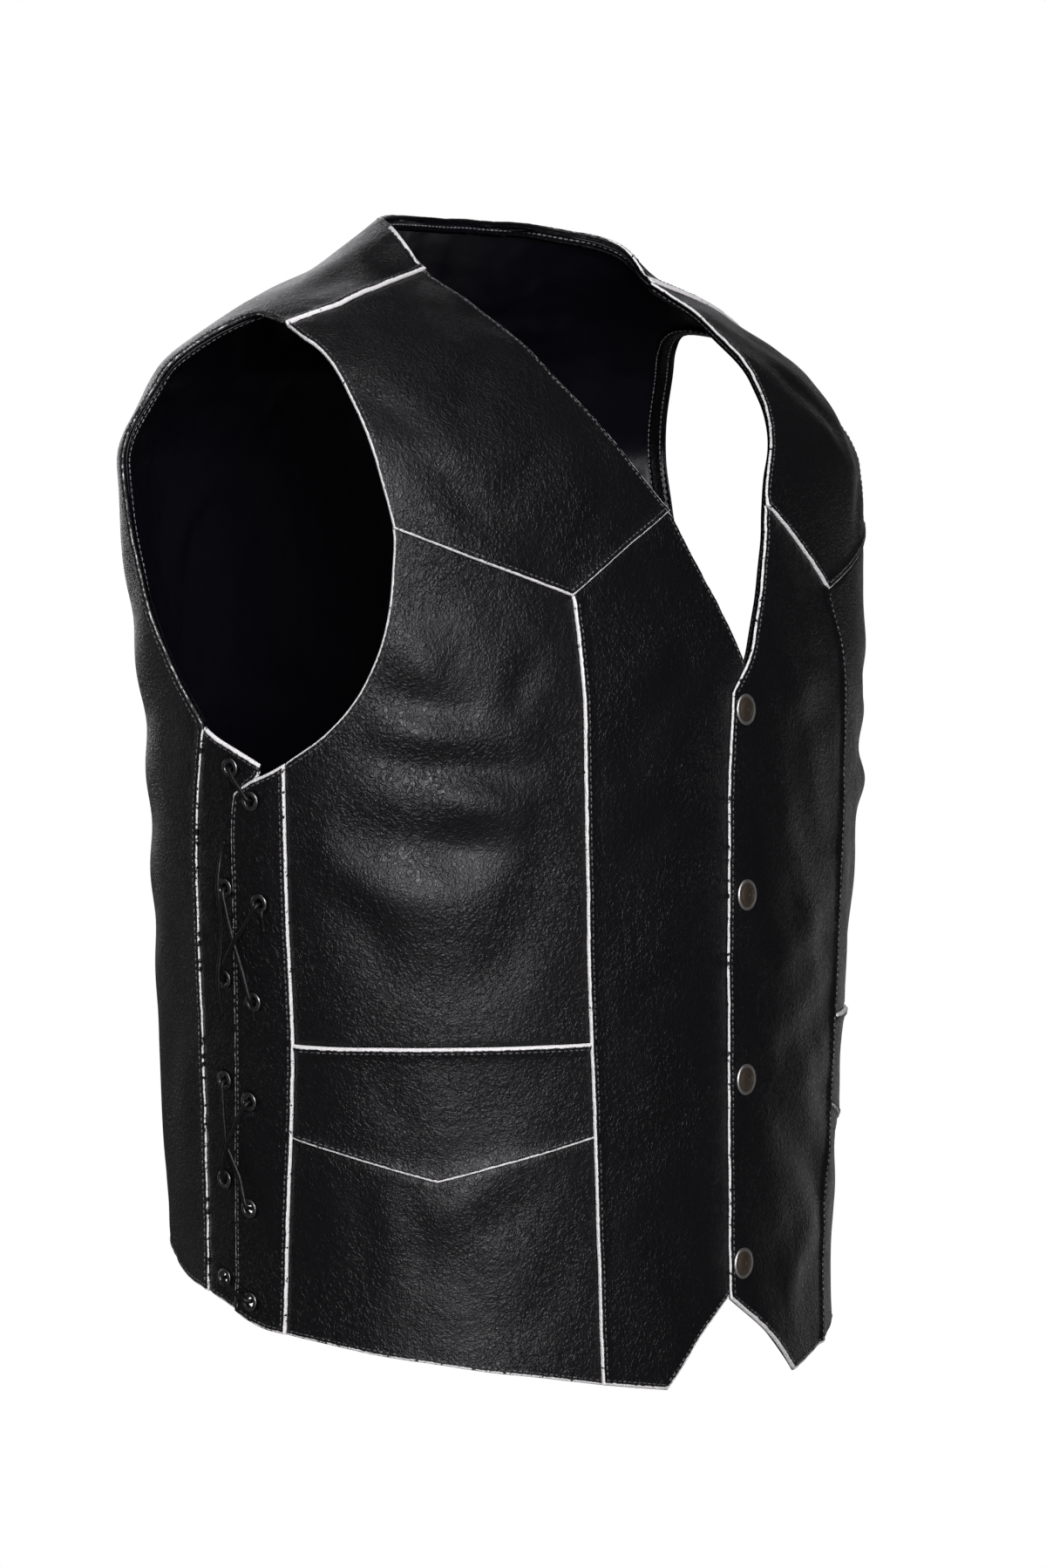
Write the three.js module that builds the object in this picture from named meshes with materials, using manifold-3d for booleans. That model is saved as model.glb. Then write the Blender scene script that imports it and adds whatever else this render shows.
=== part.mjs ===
// A man's sleeveless leather vest with laced sides, worn shape, empty inside.
// Millimetres. +Z is up, the front faces -Y and +X is the wearer's left. Height 0 is where
// the shoulders carry it. Every sheet lies on one body form, whose sections are in SECTIONS.
import * as THREE from "three";
import { mergeVertices } from "three/addons/utils/BufferGeometryUtils.js";
import Module from "manifold-3d";

const wasm = await Module();
wasm.setup();

// Driving dimensions.
const LEATHER = 1.4;
const SEAM_GAP = 0.3;
const LAP_LIFT = 2.1; // how far a lapping sheet is raised over the sheet below it
const LINING = 1.0;
const LINING_OUTSIDE = 1.6; // from the leather's inner face to the lining
const LINING_INSET = 4; // from the leather's edge to the lining's
const FACING = 1.2;
const FACING_OUTSIDE = LINING_OUTSIDE + LINING + 0.9;
const FACING_STATIONS = [1.5, 7.3, 13.2, 19]; // distances across a facing from the lining's edge
const FRONT_EXPONENT = 2.3;
const BACK_EXPONENT = 2.4;

const EYELET = { outer: 5.25, bore: 2.9, barrel: 3.3, inner: 4.3, hole: 3.65, crown: 0.8, curl: 0.5 };
const EYELET_GRIP = LEATHER / 2 + 0.38; // from the leather's middle to the flanges
const EYELET_PROFILE = [
  [EYELET.bore, -EYELET_GRIP - EYELET.curl],
  [EYELET.inner, -EYELET_GRIP],
  [EYELET.barrel, -EYELET_GRIP],
  [EYELET.barrel, EYELET_GRIP],
  [EYELET.outer, EYELET_GRIP],
  [EYELET.bore, EYELET_GRIP + EYELET.crown],
  [EYELET.bore, -EYELET_GRIP - EYELET.curl],
];
const DRILL_LENGTH = 12;

const SNAP = {
  cap: 8.5, rim: 0.9, shoulder: 6.1, crown: 1.9, rise: 2.2, stem: 1.8, hole: 2.4, stud: 5.5, base: 1.2,
};
const SNAP_SEAT = LAP_LIFT + LEATHER + SEAM_GAP;
const STUD_GAP = 0.6; // from the right front's inner face to the stud
const SNAP_HEIGHTS = [-241, -341, -441, -541];
const CAP_PROFILE = [
  [0, SEAM_GAP - STUD_GAP - SNAP_SEAT],
  [SNAP.stem, SEAM_GAP - STUD_GAP - SNAP_SEAT],
  [SNAP.stem, 0],
  [SNAP.cap, 0],
  [SNAP.cap, SNAP.rim],
  [SNAP.shoulder, SNAP.crown],
  [0, SNAP.rise],
];
const STUD_PROFILE = [[0, -SNAP.base], [SNAP.stud, -SNAP.base], [SNAP.stud, 0], [0, 0]];
const SNAP_SIDES = 12;
const ROUND_SIDES = 8;

// Sections of the body form: half its width and its depths before and behind the shoulder line.
const SECTIONS = [
  { height: 45, half: 49, front: 31, back: 31 },
  { height: 30, half: 79, front: 27, back: 40 },
  { height: 15, half: 103, front: 27, back: 52 },
  { height: 0, half: 126, front: 32, back: 67 },
  { height: -25, half: 186, front: 65, back: 91 },
  { height: -60, half: 240, front: 108, back: 121 },
  { height: -110, half: 262, front: 141, back: 140 },
  { height: -170, half: 255, front: 150, back: 138 },
  { height: -240, half: 241, front: 161, back: 136 },
  { height: -320, half: 229, front: 162, back: 141 },
  { height: -400, half: 216, front: 162, back: 149 },
  { height: -480, half: 206, front: 161, back: 153 },
  { height: -560, half: 199, front: 160, back: 150 },
  { height: -620, half: 202, front: 160, back: 142 },
];

// Pattern lines. Each pair is [angle in degrees from the centre front, height]. The angle goes
// round the body to the piece's own side: 90 is the side, 180 the centre back.
const SHOULDER = [[46, -5], [56, -14], [64, -22], [71, -30], [81, -37]];
const ARMHOLE_FRONT = [
  [81, -37], [72.5, -44], [66.8, -50], [61.8, -61], [58.5, -76], [56, -95], [54.4, -118], [53.4, -143],
  [54.4, -163], [56.3, -185], [59.8, -208], [65, -231], [71.5, -250], [79.3, -265],
];
const ARMHOLE_BACK = [
  [93.4, -247], [95.7, -237], [99, -223], [102.7, -205], [106, -186], [108.4, -168], [110.7, -150],
  [112.5, -128], [113.8, -104], [113, -80], [109.5, -55], [104, -39], [97, -31], [89, -33], [81, -37],
];
const BACK_NECK = [[46, -5], [60, 6], [75, 14], [90, 19], [112, 25], [135, 28], [158, 29], [180, 29]];
const SIDE_SEAM = [
  [79.3, -265], [80.4, -305], [81.8, -358], [83, -414], [84.8, -465], [87, -524], [88, -571],
];
const LACE_FRONT_TOP = [[79.3, -265], [82.5, -270], [86, -274.5], [89, -281]];
const LACE_FRONT_EDGE = [
  [89, -281], [89.5, -290], [90, -305], [90.5, -333], [91.7, -375], [93, -420], [94.5, -470], [96, -520],
  [97.2, -561],
];
const LACE_FRONT_HEM = [[88, -571], [91, -569], [94.5, -565], [97.2, -561]];
const LACE_BACK_TOP = [[84.2, -266], [87.5, -260], [90.5, -253.5], [93.4, -247]];
const LACE_BACK_EDGE = [
  [84.2, -266], [84.8, -273], [88.2, -283], [89, -305], [89.6, -333], [90.7, -375], [92, -420],
  [93.5, -470], [95, -520], [96.1, -562],
];
const LACE_BACK_HEM = [[96.1, -562], [99, -559], [102, -556], [105.3, -553]];
const BACK_SEAM = [
  [93.4, -247], [96.3, -283], [97.8, -311], [100, -367], [101.5, -424], [103, -481], [105.3, -553],
];
const HEM_BACK = [[105.3, -553], [116, -547], [128, -537], [150, -530], [180, -528]];
const HEM_SIDE = [[27.4, -597], [39, -591], [49, -587], [58, -583], [69, -579], [79.4, -574.5], [88, -571]];
const POCKET_MOUTH = [[28.6, -414], [43, -414], [62, -414], [83, -414]];
const POCKET_V_FRONT = [[28.5, -465], [38, -472], [48, -479], [57.6, -486]];
const POCKET_V_SIDE = [[57.6, -486], [66, -479.5], [75, -472.5], [84.8, -465]];
// Which points of the lines above and below meet other lines.
const PRINCESS_MOUTH = 4;
const PRINCESS_V = 5;
const SIDE_MOUTH = 3;
const SIDE_V = 4;
const CHEVRON_ARM = 7;
const CHEVRON_NECK = 7;

// Cells of the sheets' grids, along each stretch of their borders.
const ROWS = {
  across: 6, yoke: 7, armhole: 5, side: 4, band: 2, lower: 4, neck: 4, shoulder: 3, backNeck: 5,
};
const BACK_SEAM_SHARES = [0, 0.1, 0.21, 0.34, 0.48, 0.62, 0.76, 0.89, 1];
const BACK_ARMHOLE_SHARES = [0, 0.035, 0.075, 0.125, 0.185, 0.26, 0.36, 0.5, 0.66, 0.83, 1];
const BACK_ARMHOLE_ROWS = BACK_ARMHOLE_SHARES.length - 1;
const LACING_COLUMNS = 3;
const CENTRE_SHARES = [0, 0.17, 0.34, 0.56, 0.78, 1];
const HEM_POINT_SHARES = [0, 0.3, 0.6, 1];
// Shares of a centre front's width where its lap is at full height, and where it has run out.
const LAP_FULL = 0.34;
const LAP_NONE = 0.78;
const SETTLING_STEPS = 12;
const STEPS_PER_SPAN = 16;
const SLOPE_STEP = 0.05;

// What differs between the two fronts: the neck, the yoke's point, and the hem's point.
const FRONTS = {
  right: {
    sign: -1,
    neck: [
      [46, -5], [40, -11], [30.2, -23], [23.7, -39], [19.9, -59], [16.5, -80], [12.6, -106], [7.2, -134],
      [5.3, -149], [3.1, -167], [1, -186], [-0.6, -210], [-1.6, -226],
    ],
    tip: [25.3, -179],
    edge: [[-1.6, -226], [-2, -270], [-2.4, -350], [-2.4, -430], [-1.9, -510], [-1.6, -546]],
    point: [14, -604],
  },
  left: {
    sign: 1,
    neck: [
      [46, -5], [40, -13], [31.2, -27], [25.2, -41], [20.6, -59], [15.4, -83], [10.2, -108], [8.2, -131],
      [7.4, -150], [6, -169], [4.2, -187], [1.6, -212], [-1.2, -232],
    ],
    tip: [22.6, -178],
    edge: [[-1.2, -232], [-2, -270], [-2.5, -350], [-2.5, -430], [-2, -510], [-1.6, -560]],
    point: [13.9, -607],
  },
};
const PRINCESS_BELOW_TIP = [
  [26.3, -215], [27.4, -280], [28.3, -350], [28.6, -414], [28.5, -465], [28.3, -530], [27.4, -597],
];

const EYELETS_FRONT = [[86, -285], [86.3, -339], [89.2, -392], [91, -446], [92.4, -504], [93.4, -555]];
const EYELETS_BACK = [[89.4, -268], [92.1, -332], [94.3, -381], [96.2, -436], [98, -490], [100, -544]];

const LACE_RADIUS = 1.3;
const TAIL_RADIUS = 1.2;
const LACE_BEND = 1.1; // how far beside an eyelet's middle the lace turns
const LACE_ENDS = [7, 14]; // how far below its eyelets each end lies inside
// Distances of the lace from the form: on the sheet, in the eyelet and inside.
const LACE_LEVELS = {
  front: { outside: LAP_LIFT + 4.2, through: LAP_LIFT + 0.7, inside: LAP_LIFT - 2.8 },
  back: { outside: 4.2, through: 0.7, inside: -2.8 },
};
// The lacing from end to end. over is the height of a strand's middle, bow its sideways bend.
const LACING = [
  { column: "front", row: 0, way: "out" },
  { column: "back", row: 0, way: "in", over: 5.6 },
  { column: "back", row: 1, way: "out" },
  { column: "front", row: 2, way: "in", over: 5.2 },
  { column: "front", row: 3, way: "out" },
  { column: "back", row: 4, way: "in", over: 8.3 },
  { column: "back", row: 5, way: "out" },
  { column: "front", row: 5, way: "in", over: 5.6 },
  { column: "front", row: 4, way: "out" },
  { column: "back", row: 3, way: "in", over: 5.2, bow: 1.6 },
  { column: "back", row: 2, way: "out" },
  { column: "front", row: 1, way: "in", over: 8.3 },
];
const STRAND_STATIONS = [
  { share: 0.25, weight: 0.5, bowed: 0 },
  { share: 0.5, weight: 1, bowed: 1 },
  { share: 0.75, weight: 0.5, bowed: 0.5 },
];
const LINK_STATIONS = [0.2, 0.8];
// A free end hangs from under the front panel's edge, over two eyelets of the back panel.
const TAIL_ROUTE = [
  [90.9, -307, 3.1], [91.5, -311, 3.3], [91.8, -317, 4.2], [91.9, -323, 6], [92, -329, 7.2],
  [92.1, -337, 7.2], [92.3, -344, 6], [92.6, -352, 5], [93, -360, 5], [93.4, -368, 5.8],
  [93.7, -375, 7], [94, -382, 7.2], [94.2, -389, 6.6], [94.3, -395, 5.4], [94.4, -400, 4.6],
];

const BLACK_LEATHER = { color: 0x17171a, roughness: 0.5, metalness: 0 };
const BLACK_SATIN = { color: 0x0c0c10, roughness: 0.38, metalness: 0 };
const AGED_BRASS = { color: 0x6f6150, roughness: 0.35, metalness: 1 };
const GUN_METAL = { color: 0x3a3a3c, roughness: 0.3, metalness: 1 };

const group = new THREE.Group();

// Monotone cubic interpolation of one column of SECTIONS.
const levels = [...SECTIONS].sort((a, b) => a.height - b.height);
function column(key) {
  const x = levels.map((row) => row.height);
  const y = levels.map((row) => row[key]);
  const rise = y.slice(1).map((value, i) => (value - y[i]) / (x[i + 1] - x[i]));
  const slope = y.map((_, i) => {
    if (i === 0) return rise[0];
    if (i === y.length - 1) return rise[i - 1];
    if (rise[i - 1] * rise[i] <= 0) return 0;
    const before = x[i] - x[i - 1];
    const after = x[i + 1] - x[i];
    const a = 2 * after + before;
    const b = after + 2 * before;
    return (a + b) / (a / rise[i - 1] + b / rise[i]);
  });
  return (at) => {
    const h = Math.min(Math.max(at, x[0]), x[x.length - 1]);
    let k = 0;
    while (k < x.length - 2 && h > x[k + 1]) k++;
    const step = x[k + 1] - x[k];
    const t = (h - x[k]) / step;
    const u = 1 - t;
    return (
      y[k] * (1 + 2 * t) * u * u +
      y[k + 1] * t * t * (3 - 2 * t) +
      step * t * u * (slope[k] * u - slope[k + 1] * t)
    );
  };
}
const halfWidth = column("half");
const frontDepth = column("front");
const backDepth = column("back");

// A point of the form at an angle from the centre front, on the side of the given sign.
function onBody([angle, height], sign) {
  const a = THREE.MathUtils.degToRad(angle);
  const s = Math.sin(a);
  const c = Math.cos(a);
  const power = 2 / (c > 0 ? FRONT_EXPONENT : BACK_EXPONENT);
  const depth = c > 0 ? -frontDepth(height) : backDepth(height);
  return new THREE.Vector3(
    sign * halfWidth(height) * Math.sign(s) * Math.abs(s) ** power,
    depth * Math.abs(c) ** power,
    height,
  );
}

// How far a point is outside the form, as a share: 0 on it, below 0 inside.
function beyond(x, y, z) {
  const power = y < 0 ? FRONT_EXPONENT : BACK_EXPONENT;
  const depth = y < 0 ? frontDepth(z) : backDepth(z);
  return (Math.abs(x) / halfWidth(z)) ** power + (Math.abs(y) / depth) ** power - 1;
}

function slopeOf(p) {
  const d = SLOPE_STEP;
  return new THREE.Vector3(
    beyond(p.x + d, p.y, p.z) - beyond(p.x - d, p.y, p.z),
    beyond(p.x, p.y + d, p.z) - beyond(p.x, p.y - d, p.z),
    beyond(p.x, p.y, p.z + d) - beyond(p.x, p.y, p.z - d),
  ).divideScalar(2 * d);
}

// A place on a sheet: a point moved along the form's slope until it lies on the form, and the
// direction out of the form there. raise is how far the sheet is lifted there.
function place(p) {
  const at = p.clone();
  for (let i = 0; i < SETTLING_STEPS; i++) {
    const g = slopeOf(at);
    at.addScaledVector(g, -beyond(at.x, at.y, at.z) / g.lengthSq());
  }
  return { at, out: slopeOf(at).normalize(), raise: 0 };
}

function between(a, b, share) {
  return {
    at: a.at.clone().lerp(b.at, share),
    out: a.out.clone().lerp(b.out, share),
    raise: a.raise + (b.raise - a.raise) * share,
  };
}

function lifted({ at, out, raise }, distance) {
  return at.clone().addScaledVector(out, distance + raise);
}

function mirrored({ at, out, raise }) {
  const across = new THREE.Vector3(-1, 1, 1);
  return { at: at.clone().multiply(across), out: out.clone().multiply(across), raise };
}

// Sums of the distances between neighbouring points, from 0.
function lengthsAlong(points) {
  const sums = [0];
  points.slice(1).forEach((p, i) => sums.push(sums[i] + p.distanceTo(points[i])));
  return sums;
}

// Places on the form along a pattern line, from one of its points to another, at given shares
// of the length between them.
function runAt(line, sign, shares, from = 0, to = line.length - 1) {
  const curve = new THREE.CatmullRomCurve3(line.map((pair) => onBody(pair, sign)), false, "catmullrom", 0.5);
  const steps = STEPS_PER_SPAN * Math.abs(to - from);
  const fine = [];
  for (let i = 0; i <= steps; i++) {
    fine.push(curve.getPoint((from + ((to - from) * i) / steps) / (line.length - 1)));
  }
  const lengths = lengthsAlong(fine);
  return shares.map((share) => {
    const want = lengths[steps] * share;
    let k = 0;
    while (k < steps - 1 && lengths[k + 1] < want) k++;
    const part = (want - lengths[k]) / (lengths[k + 1] - lengths[k]);
    return place(fine[k].clone().lerp(fine[k + 1], Math.min(part, 1)));
  });
}

function run(line, sign, count, from, to) {
  const shares = Array.from({ length: count + 1 }, (_, i) => i / count);
  return runAt(line, sign, shares, from, to);
}

function chain(...runs) {
  return runs.flatMap((places, i) => (i ? places.slice(1) : places));
}

// How far along two facing borders their places lie, as mean shares of their lengths.
function meanShares(a, b) {
  const shares = (places) => {
    const sums = lengthsAlong(places.map(({ at }) => at));
    return sums.map((sum) => sum / sums[sums.length - 1]);
  };
  const other = shares(b);
  return shares(a).map((share, i) => (share + other[i]) / 2);
}

// Fills four borders with a grid of places on the form: grid[row][column], top row first.
function fill(top, bottom, left, right) {
  const columns = top.length - 1;
  const rows = left.length - 1;
  const across = meanShares(top, bottom);
  const down = meanShares(left, right);
  return left.map((first, j) =>
    top.map((above, i) => {
      if (i === 0) return first;
      if (i === columns) return right[j];
      if (j === 0) return above;
      if (j === rows) return bottom[i];
      const u = across[i];
      const v = down[j];
      const p = new THREE.Vector3();
      p.addScaledVector(first.at, 1 - u).addScaledVector(right[j].at, u);
      p.addScaledVector(above.at, 1 - v).addScaledVector(bottom[i].at, v);
      p.addScaledVector(top[0].at, -(1 - u) * (1 - v)).addScaledVector(top[columns].at, -u * (1 - v));
      p.addScaledVector(bottom[0].at, -(1 - u) * v).addScaledVector(bottom[columns].at, -u * v);
      return place(p);
    }),
  );
}

// Moves the borders of a grid inwards in the sheet. Each side's distance is a number, or a
// function of the row or column.
function inset(grid, { top = 0, bottom = 0, left = 0, right = 0 }) {
  const rows = grid.length - 1;
  const columns = grid[0].length - 1;
  const out = grid.map((row) => [...row]);
  const amount = (side, k) => (typeof side === "function" ? side(k) : side);
  const pull = (j, i, nextRow, nextColumn, distance) => {
    const way = grid[nextRow][nextColumn];
    const share = distance / grid[j][i].at.distanceTo(way.at);
    const moved = between(grid[j][i], way, share);
    const change = (key) => moved[key].clone().sub(grid[j][i][key]);
    const now = out[j][i];
    out[j][i] = {
      at: now.at.clone().add(change("at")),
      out: now.out.clone().add(change("out")),
      raise: now.raise + moved.raise - grid[j][i].raise,
    };
  };
  for (let j = 0; j <= rows; j++) {
    pull(j, 0, j, 1, amount(left, j));
    pull(j, columns, j, columns - 1, amount(right, j));
  }
  for (let i = 0; i <= columns; i++) {
    pull(0, i, 1, i, amount(top, i));
    pull(rows, i, rows - 1, i, amount(bottom, i));
  }
  return out;
}

function insetAll(grid, distance) {
  return inset(grid, { top: distance, bottom: distance, left: distance, right: distance });
}

// A closed wall on one grid or on several that share borders, between two distances from it.
function wall(grids, inner, outer) {
  const places = [];
  const numbers = new Map();
  const number = (spot) => {
    const key = spot.at.toArray().map((value) => value.toFixed(3)).join();
    if (!numbers.has(key)) numbers.set(key, places.push(spot) - 1);
    return numbers.get(key);
  };
  const cells = grids.flatMap((grid) =>
    grid.slice(1).flatMap((row, j) =>
      row.slice(1).map((corner, i) => [grid[j][i], row[i], corner, grid[j][i + 1]].map(number)),
    ),
  );
  const count = places.length;
  const points = [outer, inner].flatMap((distance) => places.map((spot) => lifted(spot, distance)));
  const faces = [];
  const quad = (a, b, c, d) => faces.push(a, b, c, a, c, d);
  const used = new Set(cells.flatMap((cell) => cell.map((a, k) => a + ">" + cell[(k + 1) % 4])));
  for (const cell of cells) {
    const [a, b, c, d] = cell;
    const across = (from, to) => places[from].at.distanceTo(places[to].at);
    if (across(a, c) < across(b, d)) {
      quad(a, b, c, d);
      quad(a + count, d + count, c + count, b + count);
    } else {
      quad(b, c, d, a);
      quad(d + count, c + count, b + count, a + count);
    }
    cell.forEach((from, k) => {
      const to = cell[(k + 1) % 4];
      if (!used.has(to + ">" + from)) quad(to, from, from + count, to + count);
    });
  }
  return facingOut(points, faces);
}

// Indexed geometry, with its faces turned if the closed body is inside out.
function facingOut(points, faces) {
  let volume = 0;
  for (let k = 0; k < faces.length; k += 3) {
    volume += points[faces[k]].dot(points[faces[k + 1]].clone().cross(points[faces[k + 2]]));
  }
  for (let k = 0; volume < 0 && k < faces.length; k += 3) {
    [faces[k], faces[k + 1]] = [faces[k + 1], faces[k]];
  }
  const geometry = new THREE.BufferGeometry().setFromPoints(points);
  return geometry.setIndex(faces);
}

function solid(geometry) {
  const bare = geometry.clone().deleteAttribute("normal").deleteAttribute("uv");
  const merged = mergeVertices(bare, 1e-4);
  return new wasm.Manifold(
    new wasm.Mesh({
      numProp: 3,
      vertProperties: merged.attributes.position.array,
      triVerts: new Uint32Array(merged.index.array),
    }),
  );
}

function geometryOf(body) {
  const mesh = body.getMesh();
  const geometry = new THREE.BufferGeometry();
  geometry.setAttribute("position", new THREE.BufferAttribute(new Float32Array(mesh.vertProperties), 3));
  return geometry.setIndex(new THREE.BufferAttribute(new Uint32Array(mesh.triVerts), 1));
}

// Round holes through a wall, at pattern positions, square to the form.
function pierced(geometry, positions, sign, radius, sides) {
  let body = solid(geometry);
  for (const position of positions) {
    const drill = new THREE.CylinderGeometry(radius, radius, DRILL_LENGTH, sides);
    const spot = place(onBody(position, sign));
    drill.applyQuaternion(squareTo(spot));
    drill.translate(spot.at.x, spot.at.y, spot.at.z);
    body = body.subtract(solid(drill));
  }
  return geometryOf(body);
}

function squareTo({ out }) {
  return new THREE.Quaternion().setFromUnitVectors(new THREE.Vector3(0, 1, 0), out);
}

function add(name, geometry, look) {
  const mesh = new THREE.Mesh(geometry, new THREE.MeshStandardMaterial(look));
  mesh.name = name;
  mesh.geometry.computeVertexNormals();
  group.add(mesh);
  return mesh;
}

function addPanel(name, grid) {
  add(name, wall([insetAll(grid, SEAM_GAP / 2)], 0, LEATHER), BLACK_LEATHER);
}

// A solid turned about its own axis and set square to the form.
function addTurned(name, profile, sides, position, sign, distance, look) {
  const spot = place(onBody(position, sign));
  const ring = new THREE.LatheGeometry(profile.map(([r, h]) => new THREE.Vector2(r, h)), sides);
  const mesh = add(name, ring, look);
  mesh.quaternion.copy(squareTo(spot));
  mesh.position.copy(lifted(spot, distance));
}

function middle(a, b) {
  return [(a[0] + b[0]) / 2, (a[1] + b[1]) / 2];
}

// The grids of one side's front panels. They share their border places.
function frontGrids(side) {
  const { sign, neck, tip, edge, point } = FRONTS[side];
  const armEnd = ARMHOLE_FRONT[CHEVRON_ARM];
  const neckEnd = neck[CHEVRON_NECK];
  const corner = edge[edge.length - 1];
  const princess = [tip, ...PRINCESS_BELOW_TIP];
  const last = princess.length - 1;
  const chevronNeck = runAt([neckEnd, middle(neckEnd, tip), tip], sign, CENTRE_SHARES);
  const chevronArm = run([tip, middle(tip, armEnd), armEnd], sign, ROWS.across);
  const princessUpper = run(princess, sign, ROWS.armhole + ROWS.side, 0, PRINCESS_MOUTH);
  const princessBand = run(princess, sign, ROWS.band, PRINCESS_MOUTH, PRINCESS_V);
  const princessLower = run(princess, sign, ROWS.lower, PRINCESS_V, last);
  const seamUpper = run(SIDE_SEAM, sign, ROWS.side, 0, SIDE_MOUTH);
  const seamBand = run(SIDE_SEAM, sign, ROWS.band, SIDE_MOUTH, SIDE_V);
  const seamLower = run(SIDE_SEAM, sign, ROWS.lower, SIDE_V, SIDE_SEAM.length - 1);
  const mouth = run(POCKET_MOUTH, sign, ROWS.across);
  const pocketV = chain(
    run(POCKET_V_FRONT, sign, ROWS.across / 2),
    run(POCKET_V_SIDE, sign, ROWS.across / 2),
  );
  const centreHem = chain(
    runAt([corner, middle(corner, point), point], sign, HEM_POINT_SHARES),
    run([point, middle(point, princess[last]), princess[last]], sign, 2),
  );
  const centreRows = ROWS.armhole + ROWS.side + ROWS.band + ROWS.lower;
  return {
    yoke: fill(
      run(SHOULDER, sign, CENTRE_SHARES.length - 1 + ROWS.across),
      chain(chevronNeck, chevronArm),
      run(neck, sign, ROWS.yoke, 0, CHEVRON_NECK),
      run(ARMHOLE_FRONT, sign, ROWS.yoke, 0, CHEVRON_ARM),
    ),
    upper: fill(
      chevronArm,
      mouth,
      princessUpper,
      chain(
        run(ARMHOLE_FRONT, sign, ROWS.armhole, CHEVRON_ARM, ARMHOLE_FRONT.length - 1),
        seamUpper,
      ),
    ),
    band: fill(mouth, pocketV, princessBand, seamBand),
    lower: fill(pocketV, run(HEM_SIDE, sign, ROWS.across), princessLower, seamLower),
    centre: fill(
      chevronNeck,
      centreHem,
      chain(run(neck, sign, ROWS.neck, CHEVRON_NECK), run(edge, sign, centreRows - ROWS.neck)),
      chain(princessUpper, princessBand, princessLower),
    ),
    lacing: fill(
      run(LACE_FRONT_TOP, sign, LACING_COLUMNS),
      run(LACE_FRONT_HEM, sign, LACING_COLUMNS),
      chain(seamUpper, seamBand, seamLower),
      run(LACE_FRONT_EDGE, sign, ROWS.side + ROWS.band + ROWS.lower),
    ),
  };
}

// The front panels of one side. The left centre front is raised where it laps over the right one.
function addFront(side, grids) {
  addPanel("front_yoke_" + side, grids.yoke);
  addPanel("side_front_upper_" + side, grids.upper);
  addPanel("pocket_band_" + side, grids.band);
  addPanel("side_front_lower_" + side, grids.lower);
  const lap = side === "left" ? LAP_LIFT : 0;
  const { smoothstep } = THREE.MathUtils;
  const centre = insetAll(grids.centre, SEAM_GAP / 2).map((row, j) =>
    row.map((spot, i) => {
      const across = 1 - smoothstep(CENTRE_SHARES[i], LAP_FULL, LAP_NONE);
      return { ...spot, raise: lap * across * smoothstep(j, 0, ROWS.neck - 1) };
    }),
  );
  const { sign } = FRONTS[side];
  const snaps = SNAP_HEIGHTS.map((height) => [0, height]);
  const geometry = pierced(wall([centre], 0, LEATHER), snaps, sign, SNAP.hole, ROUND_SIDES);
  add("centre_front_" + side, geometry, BLACK_LEATHER);
}

// The two side panels of one side, their eyelets and the lacing.
function addSide(side, grids) {
  const { sign } = FRONTS[side];
  const back = fill(
    run(LACE_BACK_TOP, sign, LACING_COLUMNS),
    run(LACE_BACK_HEM, sign, LACING_COLUMNS),
    runAt(LACE_BACK_EDGE, sign, BACK_SEAM_SHARES),
    runAt(BACK_SEAM, sign, BACK_SEAM_SHARES),
  );
  const raised = grids.lacing.map((row) => row.map((spot, i) => ({ ...spot, raise: i ? LAP_LIFT : 0 })));
  const columns = [
    { name: "front", grid: raised, positions: EYELETS_FRONT, middle: LAP_LIFT + LEATHER / 2 },
    { name: "back", grid: back, positions: EYELETS_BACK, middle: LEATHER / 2 },
  ];
  for (const { name, grid, positions, middle: distance } of columns) {
    const panel = wall([insetAll(grid, SEAM_GAP / 2)], 0, LEATHER);
    const holed = pierced(panel, positions, sign, EYELET.hole, ROUND_SIDES);
    add("lace_panel_" + name + "_" + side, holed, BLACK_LEATHER);
    positions.forEach((position, i) => {
      const label = "eyelet_" + name + "_" + side + "_" + (i + 1);
      addTurned(label, EYELET_PROFILE, ROUND_SIDES, position, sign, distance, GUN_METAL);
    });
  }
  add("lace_" + side, cord(laceRoute(), sign, LACE_RADIUS), BLACK_LEATHER);
  add("lace_tail_" + side, cord(TAIL_ROUTE, sign, TAIL_RADIUS), BLACK_LEATHER);
}

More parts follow.
